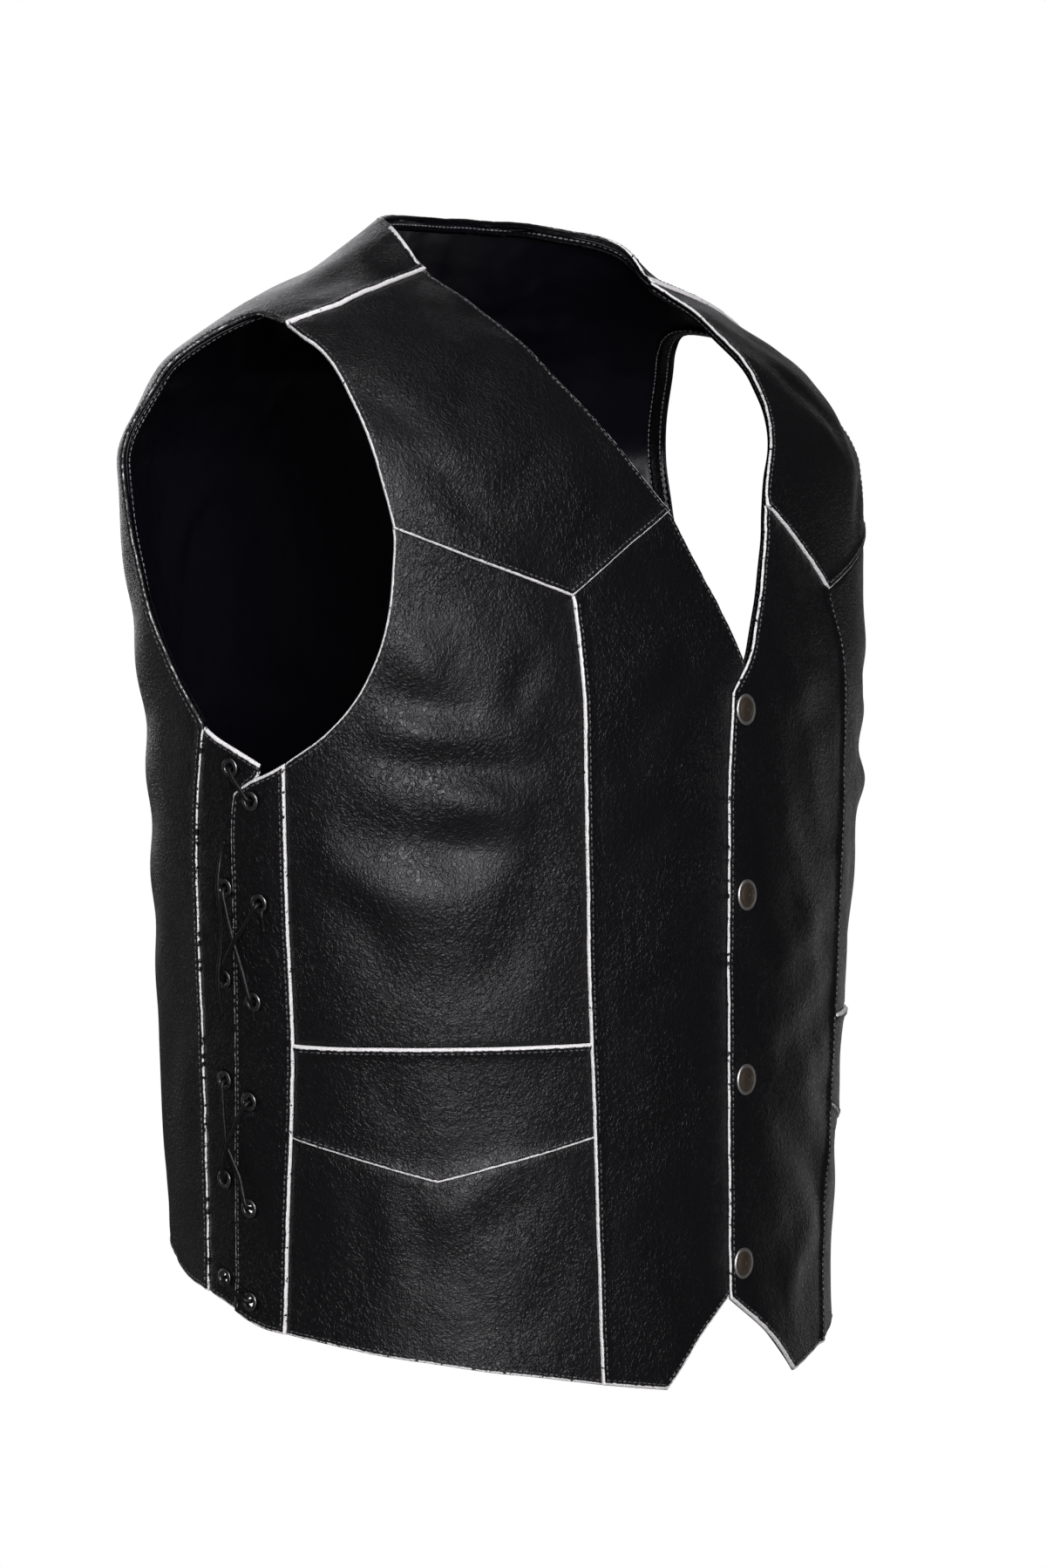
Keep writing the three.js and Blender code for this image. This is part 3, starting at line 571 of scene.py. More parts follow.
# Troughs and ridges of the leather, at the places where the worn shape buckles.
CREASES = (
    # the right side front, from the yoke down to the pocket
    *creases(
        R,
        (((61, -229), (53, -237), (44, -241)), 10, -2.5),
        (((67, -256), (56, -264), (45, -269), (34, -276)), 10, -2.2),
        (((72, -297), (60, -305), (50, -311), (41, -310)), 12.5, -2.9),
        (((60, -192), (54, -206), (48, -216)), 13, 1.9),
        (((63, -243), (50, -251), (36, -257)), 10, 1.7),
        (((54, -280), (45, -285), (36, -294)), 13, 3),
        (((70, -326), (56, -338), (42, -344)), 19, 1.9),
        (((36, -300), (38, -335), (42, -366), (50, -392)), 13.5, -1.7),
        (((72, -330), (66, -356), (63, -388)), 11, -1.5),
        (((75, -300), (70, -322), (58, -346)), 9.5, 1.1),
        (((32, -206), (37, -226), (38, -243)), 8, -1.3),
    ),
    # the right pocket band and the panel below it
    *creases(
        R,
        (((34, -424), (44, -440), (52, -455)), 12.1, -0.68),
        (((70, -425), (66, -442), (61, -462)), 10.5, -0.74),
        (((34, -478), (44, -498), (55, -520), (64, -548)), 12.1, -0.74),
        (((40, -476), (51, -494), (60, -512)), 11, 1.1),
        (((56, -492), (53, -512), (47, -534)), 12.7, 1.2),
        (((64, -486), (62, -512), (61, -545)), 7.7, -0.87),
        (((74, -480), (72, -515), (75, -552)), 8.8, -0.81),
        (((34, -520), (38, -548), (45, -572)), 10.5, -0.74),
    ),
    # the right yoke
    *creases(
        R,
        (((61, -68), (50, -84), (42, -108)), 9, -1.4),
        (((54, -96), (44, -116), (38, -142)), 9.5, -1.5),
        (((30, -48), (36, -72), (40, -94)), 10, -1.2),
        (((22, -92), (29, -112), (36, -128)), 9, -1.2),
        (((48, -132), (40, -152), (32, -166)), 9.5, 1.3),
        (((17, -124), (21, -144), (25, -163)), 8, -0.9),
        (((52, -18), (56, -38), (58, -60)), 11, -1.3),
    ),
    # the shoulders
    *creases(
        R,
        (((60, -22), (62, -34), (56, -48)), 8, -1.2),
        (((80, 4), (84, -12), (80, -28)), 12, -1.4),
        (((98, 12), (96, -6), (92, -22)), 11, 1.1),
    ),
    # the right centre front
    *creases(
        R,
        (((5, -206), (12, -232), (22, -262)), 12, -1.5),
        (((8, -286), (15, -300), (24, -322)), 11, -1.3),
        (((6, -365), (14, -385), (23, -400)), 12, -1.4),
        (((9, -450), (16, -468), (25, -480)), 11, -1.2),
        (((7, -560), (13, -540), (20, -508)), 12, -1.4),
    ),
    # the left centre front and side front
    *creases(
        L,
        (((6, -430), (16, -420), (27, -406)), 12, -2),
        (((6, -470), (14, -482), (22, -500), (28, -530)), 12, -2),
        (((8, -300), (15, -314), (25, -322)), 13.5, -1.5),
        (((5, -375), (13, -366), (22, -350)), 12, 1.5),
        (((8, -250), (16, -244), (26, -232)), 12, -1.3),
        (((9, -560), (15, -545), (24, -520)), 12, 1.4),
        (((9, -200), (15, -214), (22, -220)), 11, -1.1),
        (((58, -220), (50, -230), (40, -234)), 11, -2.1),
        (((67, -250), (54, -262), (40, -270)), 11, -2.2),
        (((70, -292), (58, -304), (44, -312)), 12, -2.4),
        (((60, -276), (48, -286), (36, -292)), 12, 2.2),
        (((38, -320), (40, -352), (47, -386)), 13.5, -1.6),
        (((73, -330), (68, -362), (62, -394)), 11, -1.4),
        (((36, -482), (48, -502), (58, -532)), 12, -1.8),
        (((60, -490), (56, -515), (50, -545)), 11, 1.7),
        (((74, -482), (71, -520), (74, -554)), 9.5, -1.3),
        (((62, -72), (50, -90), (41, -112)), 9.5, -1.5),
        (((53, -104), (44, -124), (36, -146)), 9.5, -1.4),
        (((30, -52), (36, -76), (39, -98)), 11, -1.2),
        (((60, -24), (60, -38), (54, -52)), 9.5, -1.2),
        (((80, 3), (85, -12), (82, -28)), 12, -1.3),
        (((40, -430), (48, -446), (54, -462)), 11, -1.1),
    ),
    # the back, both sides
    *creases(
        R,
        (((112, -60), (124, -82), (140, -96)), 13.5, -1.4),
        (((116, -110), (130, -126), (150, -134)), 15, -1.2),
        (((110, -180), (124, -190), (142, -192)), 15, -1.4),
        (((104, -232), (118, -246), (136, -252), (152, -250)), 15, -1.6),
        (((108, -290), (126, -302), (146, -300)), 16, -1.5),
        (((112, -340), (130, -356), (156, -358)), 16, -1.2),
        (((110, -400), (116, -440), (114, -490)), 11, -1),
        (((130, -420), (134, -462), (130, -520)), 12, -1.1),
        (((152, -410), (149, -452), (154, -505)), 13.5, -0.9),
        (((104, -330), (107, -372), (106, -410)), 9.5, -0.9),
    ),
    *creases(
        L,
        (((114, -58), (126, -78), (144, -90)), 13.5, -1.2),
        (((117, -118), (132, -130), (155, -140)), 15, -1.4),
        (((111, -172), (126, -184), (146, -186)), 13.5, -1.2),
        (((105, -226), (120, -238), (140, -246)), 15, -1.6),
        (((109, -282), (128, -292), (150, -296)), 16, -1.6),
        (((113, -334), (134, -346), (160, -350)), 16, -1.2),
        (((111, -404), (118, -446), (115, -496)), 11, -1),
        (((132, -415), (136, -458), (133, -512)), 12, -1),
        (((154, -405), (152, -448), (158, -500)), 13.5, -0.9),
        (((104, -336), (108, -380), (107, -416)), 9.5, -0.8),
    ),
    *creases(
        R,
        (((168, -30), (171, -70), (167, -120)), 16, -0.9),
    ),
    *creases(
        L,
        (((170, -240), (172, -290), (168, -340)), 16, 0.9),
    ),
)


# Folds of the lining of the back: broad ones, and short ones beside the armholes.
LINING_FOLDS = (
    *creases(
        R,
        (((148, -172), (156, -136), (165, -107), (171, -66)), 15, -3.2),
        (((158, -180), (166, -146), (172, -112)), 12, -2.4),
        (((169, -96), (172, -160), (174, -230)), 26, -3.4),
        (((160, -60), (150, -44), (136, -34)), 9, -1.8),
        (((168, -48), (154, -30), (140, -20)), 9, -1.6),
        (((124, -66), (130, -72), (147, -66)), 5.5, -1.7),
        (((124, -84), (132, -78), (146, -88)), 5.0, -1.6),
        (((124, -92), (131, -99), (146, -96)), 5.5, -1.9),
        (((123, -111), (130, -106), (145, -113)), 4.8, -1.7),
        (((123, -119), (133, -124), (146, -120)), 5.2, -1.8),
        (((122, -136), (130, -130), (144, -139)), 5.6, -1.8),
        (((121, -144), (129, -152), (145, -148)), 5.0, -1.6),
        (((120, -163), (130, -157), (145, -166)), 5.4, -1.7),
        (((119, -172), (128, -179), (144, -175)), 5.0, -1.6),
        (((118, -190), (127, -185), (143, -193)), 5.5, -1.5),
        (((116, -200), (126, -207), (143, -203)), 5.0, -1.4),
    ),
    *creases(
        L,
        (((126, -40), (140, -70), (158, -96)), 14, -2.4),
        (((150, -20), (160, -60), (166, -104)), 13, -2.2),
        (((170, -4), (176, -36), (178, -80)), 16, -2.2),
        (((134, 2), (146, -10), (158, -20)), 8, -1.6),
        (((130, -18), (140, -28), (150, -26)), 7, -1.5),
        (((124, -92), (130, -96), (144, -90)), 5.5, -1.7),
        (((123, -112), (131, -107), (145, -114)), 5.2, -1.6),
        (((122, -130), (130, -136), (144, -131)), 5.6, -1.7),
        (((120, -156), (129, -150), (143, -158)), 5.2, -1.5),
        (((118, -182), (127, -188), (143, -184)), 5.4, -1.5),
        (((120, -250), (140, -262), (165, -258)), 16, -2.2),
    ),
    *creases(
        R,
        (((124, -300), (145, -320), (160, -350)), 15, -2),
    ),
)


@dataclass
class Drape:
    """The shared surface: how far every sheet stands off the form at its creases.

    Attributes:
        quiet: How far from an eyelet or a snap the creases are faded.
    """

    quiet: float = 13.0

    def __post_init__(self) -> None:
        """Finds the places that stay flat: round the eyelets and snaps."""
        spots = []
        for side in Side:
            spots += [FORM.on(np.array(EYELETS_FRONT), side), FORM.on(np.array(EYELETS_BACK), side)]
        spots.append(FORM.on(np.array([(0, height) for height in SNAP_HEIGHTS]), L))
        self.still = np.vstack(spots)

    def height(self, points: Array) -> Array:
        """Sum of all the creases, times one less a bell round each eyelet and snap.

        Args:
            points: Points on the form.

        Returns:
            One height for each point, in millimetres.
        """
        total = np.zeros(points.shape[:-1])
        for crease in CREASES:
            total += crease.height(points)
        calm = np.ones_like(total)
        for spot in self.still:
            gap = norm(points - spot)
            calm *= 1 - np.exp(-((gap / self.quiet) ** 2))
        return total * calm


DRAPE = Drape()

Trim = Callable[[Array], Array]


def even(distance: float) -> Trim:
    """A trim that is the same all along a border."""
    return lambda rows: np.full(rows.shape, distance)


@dataclass
class Edges:
    """One value for each of a patch's four borders."""

    top: object = None
    bottom: object = None
    left: object = None
    right: object = None

    def each(self) -> tuple:
        """The four values."""
        return (self.top, self.bottom, self.left, self.right)


class Patch:
    """A sheet's fine grid of places on the form."""

    MARGINS = (0.0, 0.35, 0.8, 1.4, 2.3, 3.6, 5.4)
    LEAST_ROOM = 0.5
    MARGIN_SHARE = 0.88

    def __init__(self, borders: Edges, cell: float, trim: Edges) -> None:
        """Fills the borders.

        Args:
            borders: The four borders; the top and bottom run from the left one to the right one.
            cell: Size of the grid's cells, in millimetres.
            trim: How far the grid stays inside each border.
        """
        self.borders = borders
        top, bottom, left, right = borders.each()
        self.column, self.row = np.meshgrid(
            self._numbers(top, bottom, cell), self._numbers(left, right, cell)
        )
        at = self._filled()
        for axis, low, high in ((1, trim.left, trim.right), (0, trim.top, trim.bottom)):
            at = self._margins(at, axis, low, high)
        self.at, self.out = FORM.settle(at)

    @staticmethod
    def _numbers(a: Border, b: Border, cell: float) -> Array:
        """Numbers of the grid's lines.

        Args:
            a: One border.
            b: The border opposite to it.
            cell: Size of the cells, which the longer of the two gets.

        Returns:
            Row numbers, rising.
        """
        parts = [np.zeros(1)]
        for k in range(a.rows):
            size = max(
                lengths_along(line.fine[k * Border.PER_ROW : (k + 1) * Border.PER_ROW + 1])[-1]
                for line in (a, b)
            )
            count = max(1, round(size / cell))
            parts.append(k + np.arange(1, count + 1) / count)
        return np.concatenate(parts)

    def _filled(self) -> Array:
        """The four borders' blend: opposite borders blended, less the blend of the corners."""
        top, bottom, left, right = self.borders.each()
        s, t = self.column[0], self.row[:, 0]
        u = ((top.share(s) + bottom.share(s)) / 2)[None, :, None]
        v = ((left.share(t) + right.share(t)) / 2)[:, None, None]
        above, below = top.at(s)[None], bottom.at(s)[None]
        first, last = left.at(t)[:, None], right.at(t)[:, None]
        corners = (
            above[:, :1] * (1 - u) * (1 - v)
            + above[:, -1:] * u * (1 - v)
            + below[:, :1] * (1 - u) * v
            + below[:, -1:] * u * v
        )
        at = first * (1 - u) + last * u + above * (1 - v) + below * v - corners
        return FORM.settle(at)[0]

    def _margins(self, at: Array, axis: int, low: Trim, high: Trim) -> Array:
        """Puts lines of points beside the two borders across an axis.

        Each new line lies at a margin's distance from its border, and the border's own line
        moves in by its trim.

        Args:
            at: The grid's points.
            axis: The axis that goes from the one border to the other.
            low: Trim of the first border.
            high: Trim of the last border.

        Returns:
            The grid with the new lines.
        """
        layers = np.concatenate([at, self.row[..., None], self.column[..., None]], axis=-1)
        layers = np.moveaxis(layers, axis, 0)
        other = layers[0][:, 3] if axis == 1 else layers[0][:, 4]
        ends = []
        for first, second, trim in ((layers[0], layers[1], low), (layers[-1], layers[-2], high)):
            width = norm(second[:, :3] - first[:, :3])
            start = trim(other)
            room = np.maximum(width - start, self.LEAST_ROOM)
            scale = np.minimum(1, self.MARGIN_SHARE * room / self.MARGINS[-1])
            lines = []
            for margin in self.MARGINS:
                share = ((start + margin * scale) / width)[:, None]
                lines.append(first + (second - first) * share)
            ends.append(np.array(lines))
        joined = np.concatenate([ends[0], layers[1:-1], ends[1][::-1]])
        joined = np.moveaxis(joined, 0, axis)
        self.row, self.column = joined[..., 3], joined[..., 4]
        return joined[..., :3]

    def flat(self) -> tuple[tuple[float, float], float]:
        """The sheet's flat size and area.

        Returns:
            Width and length in metres: the longest row and the longest column. Then the area in
            square metres, summed over the cells as half the product of their diagonals' cross.
        """
        wide = norm(np.diff(self.at, axis=1)).sum(axis=1).max()
        long = norm(np.diff(self.at, axis=0)).sum(axis=0).max()
        one = self.at[1:, 1:] - self.at[:-1, :-1]
        two = self.at[1:, :-1] - self.at[:-1, 1:]
        area = norm(np.cross(one, two)).sum() / 2
        return (wide * MM, long * MM), min(area * MM * MM, wide * long * MM * MM)


def shell(at: Array, out: Array, outer: Array, inner: Array,
          gone: Optional[Array] = None) -> tuple[Array, Array, Array]:
    """A closed wall between two distances from a grid.

    Args:
        at: Points on the form, by row and column.
        out: Directions out of the form.
        outer: Distances of the outer face.
        inner: Distances of the inner face.
        gone: Cells that are left out.

    Returns:
        Points, faces of four with their normals outward, and the points' numbers in two copies
        of the grid, the outer one first.
    """
    rows, columns = at.shape[:2]
    count = rows * columns
    number = np.arange(count).reshape(rows, columns)
    keep = np.ones((rows - 1, columns - 1), bool) if gone is None else ~gone
    a, b = number[:-1, :-1][keep], number[1:, :-1][keep]
    c, d = number[1:, 1:][keep], number[:-1, 1:][keep]
    cells = np.stack([a, b, c, d], axis=1)
    middle = len(cells) // 2
    one = at.reshape(-1, 3)[cells[middle]]
    turn = np.dot(np.cross(one[1] - one[0], one[2] - one[0]), out.reshape(-1, 3)[cells[middle][0]])
    if turn < 0:
        cells = cells[:, ::-1]
    heads = cells.ravel()
    tails = np.roll(cells, -1, axis=1).ravel()
    forward = heads * count + tails
    rim = ~np.isin(tails * count + heads, forward)
    h, t = heads[rim], tails[rim]
    walls = np.stack([t, h, h + count, t + count], axis=1)
    faces = np.vstack([cells, cells[:, ::-1] + count, walls])
    flat_at, flat_out = at.reshape(-1, 3), out.reshape(-1, 3)
    points = np.vstack(
        [flat_at + flat_out * outer.reshape(-1, 1), flat_at + flat_out * inner.reshape(-1, 1)]
    )
    used, index = np.unique(faces, return_inverse=True)
    return points[used], index.reshape(faces.shape), used


def put(name: str, data: bpy.types.ID) -> bpy.types.Object:
    """A new object of given data in the scene."""
    made = bpy.data.objects.new(name, data)
    bpy.context.scene.collection.objects.link(made)
    return made


def ring_faces(rings: int, sides: int) -> tuple[Array, Array]:
    """Numbers of points in rings, by ring and side, and the faces from each ring to the next."""
    number = np.arange(rings * sides).reshape(rings, sides)
    after = np.roll(number, -1, axis=1)
    faces = np.stack([number[:-1], after[:-1], after[1:], number[1:]], axis=-1)
    return number, faces.reshape(-1, 4)


def smoothed(padded: Array, weights: Array) -> Array:
    """Moving mean of points with given weights; the ends get shorter by its reach."""
    return np.stack([np.convolve(padded[:, k], weights, "valid") for k in range(3)], axis=-1)


def make_object(name: str, points: Array, faces: Array, material: Material,
                values: Optional[dict[str, Array]] = None) -> bpy.types.Object:
    """A smooth mesh object at the origin, riding on the vest.

    Args:
        name: The object's name.
        points: Its points, in millimetres.
        faces: Its faces.
        material: Its finish.
        values: Named numbers of its points, which the finish reads.

    Returns:
        The object.
    """
    mesh = bpy.data.meshes.new(name)
    mesh.from_pydata(points * MM, [], faces)
    mesh.polygons.foreach_set("use_smooth", np.ones(len(mesh.polygons), bool))
    for key, numbers in (values or {}).items():
        layer = mesh.attributes.new(key, "FLOAT", "POINT")
        layer.data.foreach_set("value", np.ascontiguousarray(numbers, np.float32))
    mesh.materials.append(material)
    mesh.update()
    made = put(name, mesh)
    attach(made, "root")
    log.info("%s: %d points", name, len(points))
    return made


class Ripples:
    """A smooth irregular pattern in space, from -1 to 1.

    It is the mean of sines of the place along fixed directions, each with its own wavelength
    and phase.
    """

    WAVES = 7

    def __init__(self, wavelength: float, seed: int) -> None:
        """Args: wavelength in millimetres, and the seed of the directions."""
        draw = np.random.default_rng(seed)
        ways = draw.normal(size=(self.WAVES, 3))
        ways /= np.linalg.norm(ways, axis=1, keepdims=True)
        sizes = wavelength * draw.uniform(0.7, 1.5, (self.WAVES, 1))
        self.ways = 2 * np.pi * ways / sizes
        self.phases = draw.uniform(0, 2 * np.pi, self.WAVES)

    def __call__(self, points: Array) -> Array:
        """The pattern at given points."""
        return np.sin(points @ self.ways.T + self.phases).mean(axis=-1) * 1.6


BUCKLE = Ripples(34, 3)
PUCKER = Ripples(11, 8)


@dataclass(frozen=True)
class Seam:
    """How a stretch of a leather panel's border is finished. All but worn are millimetres.

    Attributes:
        lip: How far this edge stands above the panel beside it.
        dip: How far this edge sinks below the panel that laps over it.
        rim: Radius of its rounding.
        turned: How far the turned edge thickens the leather inwards.
        rub: Width of the rubbed pale line on the edge; 0 for none.
        worn: How broken that line is, from 0 to 1.
        pale: How far the edge is rubbed through, from 0 to 1.
        stitches: From the edge to its stitches; 0 for none.
    """

    lip: float = 0.0
    dip: float = 0.0
    rim: float = 0.3
    turned: float = 0.0
    rub: float = 0.0
    worn: float = 0.0
    pale: float = 1.0
    stitches: float = 0.0


UNDER = Seam(dip=0.5)
LAPPED = Seam(lip=1.3, rim=1.2, rub=1.0, worn=0.2, stitches=3.1)
LAPPED_DARK = Seam(lip=1.3, rim=1.2, rub=1.0, worn=0.85, stitches=2.9)
THIN_LAP = Seam(lip=0.9, rim=0.9, rub=1.2, worn=0.25, stitches=2.6)
SHOULDER_LAP = Seam(lip=1.7, rim=1.5, rub=1.3, worn=0.25, stitches=3.2)
MOUTH = Seam(lip=2.0, rim=1.6, rub=1.6, worn=0.05, stitches=3.4)
SIDE_LAP = Seam(lip=0.9, rim=1.2, rub=0.95, worn=0.35, stitches=2.8)
FREE = Seam(rim=1.2, turned=0.9, rub=0.85, worn=0.25, stitches=2.9)
FREE_DASHED = Seam(rim=1.1, turned=0.9, rub=1.0, worn=0.65, stitches=2.7)
FREE_THIN = Seam(rim=1.1, turned=0.9, rub=0.8, worn=0.35, pale=0.85, stitches=2.7)
FREE_DARK = Seam(rim=1.1, turned=0.9, rub=0.8, worn=0.6, pale=0.68, stitches=2.7)
NECK_CORNER = Seam(rim=1.5, turned=0.9, rub=2.6, worn=0.0, stitches=3.8)
FRONT_EDGE = Seam(rim=1.1, turned=0.9, rub=0.5, worn=0.45, pale=0.9, stitches=2.7)
FREE_THICK = Seam(rim=1.3, turned=0.9, rub=1.6, worn=0.1, stitches=3.0)
HEM = Seam(rim=1.1, turned=0.9, rub=1.2, worn=0.5, stitches=2.6)
BACK_LACE_SEAM = Seam(lip=0.7, rim=0.9, rub=0.5, worn=0.6, pale=0.85, stitches=2.6)


@dataclass(frozen=True)
class Finish:
    """One stretch of border with its seam."""

    line: Border
    seam: Seam


INWARD_STRIDE = 4
INWARD_VOTES = 6
OFFSET_STEP = 3.0


def inward_of(line: Array, patch: Patch) -> tuple[Array, Array]:
    """Points of a border on the form, and the directions along the form into a patch.

    The directions are square to the border and to the form's own, on the side where the patch's
    points are.

    Args:
        line: Points along the border.
        patch: The patch.

    Returns:
        The points on the form, and a unit direction for each.
    """
    at, out = FORM.settle(line)
    way = np.gradient(at, axis=0)
    way = unit(way)
    side = np.cross(out, way)
    centre = patch.at[1:-1:INWARD_STRIDE, 1:-1:INWARD_STRIDE].reshape(-1, 3)
    probe = at[len(at) // 2]
    order = np.argsort(norm(centre - probe))
    nearest = centre[order[:INWARD_VOTES]].mean(axis=0)
    sign = np.sign(np.dot(side[len(at) // 2], nearest - probe))
    return at, side * sign


def offset(line: Array, patch: Patch, distance: float) -> Array:
    """A line on the form at a distance from a border, inside a patch, reached in short steps.

    Args:
        line: Points along the border.
        patch: The patch.
        distance: How far in the line lies.

    Returns:
        The line's points.
    """
    steps = max(int(math.ceil(abs(distance) / OFFSET_STEP)), 1)
    at = line
    for _ in range(steps):
        at, inward = inward_of(at, patch)
        at = at + inward * (distance / steps)
    return FORM.settle(at)[0]


@dataclass
class Thread:
    """Rows of short stitches.

    Attributes:
        length: Length of a stitch.
        pitch: From one stitch to the next.
        radius: Half its width.
        sunk: How deep it lies in the leather.
        end: From a row's ends to its first and last stitch.
        sides: Sides of its section.
        rings: Its profile: shares of half the length and of the radius.
        probe: How far off the form the leather is looked for from.
        probe_reach: How far it is looked for.
        near: Half the stretch of line that gives a stitch its direction.
    """

    length: float = 2.5
    pitch: float = 3.4
    radius: float = 0.5
    sunk: float = 0.02
    end: float = 2.2
    sides: int = 6
    rings: tuple[Pair, ...] = ((-1.0, 0.25), (-0.72, 0.85), (0.0, 1.0), (0.72, 0.85), (1.0, 0.25))
    probe: float = 30.0
    probe_reach: float = 45.0
    near: float = 0.5

    def __post_init__(self) -> None:
        """Makes the pattern of one stitch: a spindle along X, its profile carried round it."""
        turn = 2 * np.pi * np.arange(self.sides) / self.sides
        along, wide = np.array(self.rings).T[:, :, None]
        self.points = np.stack([
            along * self.length / 2 + 0 * turn,
            wide * self.radius * np.cos(turn),
            wide * self.radius * np.sin(turn),
        ], axis=-1).reshape(-1, 3)
        number, self.faces = ring_faces(len(self.rings), self.sides)
        self.ends = (number[0][::-1], number[-1])
        self.frames: list[tuple[Array, Array, Array]] = []

    def sew(self, line: Array, tree: BVHTree, phase: float, inside: bool = False) -> None:
        """Adds the stitches of one line.

        Args:
            line: The line on the form.
            tree: The surface that they lie on.
            phase: Where the first one lies, as a share of the pitch.
            inside: Whether they lie on the surface that faces the body.
        """
        sign = -1 if inside else 1
        total = lengths_along(line)[-1]
        spots = np.arange(self.end + phase * self.pitch, total - self.end, self.pitch)
        if len(spots) < 2:
            return
        middle = resample(line, spots)
        ahead = resample(line, spots + self.near) - resample(line, spots - self.near)
        at, out = FORM.settle(middle)
        for spot, up, way in zip(at, out, ahead):
            hit, normal, _, _ = tree.ray_cast(
                Vector((spot + up * self.probe * sign) * MM), Vector(-up * sign),
                self.probe_reach * MM,
            )
            if hit is None:
                continue
            n = np.array(normal)
            x = way - n * np.dot(way, n)
            self.frames.append((np.array(hit) / MM - n * self.sunk, x / np.linalg.norm(x), n))

    def build(self, name: str, material: Material, held_by: bpy.types.Object) -> None:
        """Makes one object of all the stitches.

        Args:
            name: The object's name.
            material: The thread's finish.
            held_by: The piece that they are sewn in.
        """
        if not self.frames:
            return
        at, x, z = (np.array(column) for column in zip(*self.frames))
        y = np.cross(z, x)
        p = self.points
        points = at[:, None] + sum(
            way[:, None] * p[:, axis : axis + 1] for axis, way in enumerate((x, y, z))
        )
        count = len(at)
        shift = np.arange(count)[:, None, None] * len(p)
        quads = (self.faces[None] + shift).reshape(-1, 4)
        fans = []
        for ring in self.ends:
            a, b, c, d, e, f = ring
            fans += [(a, b, c, d), (a, d, e, f)]
        caps = (np.array(fans)[None] + shift).reshape(-1, 4)
        made = make_object(name, points.reshape(-1, 3), np.vstack([quads, caps]), material)
        made.parent = held_by


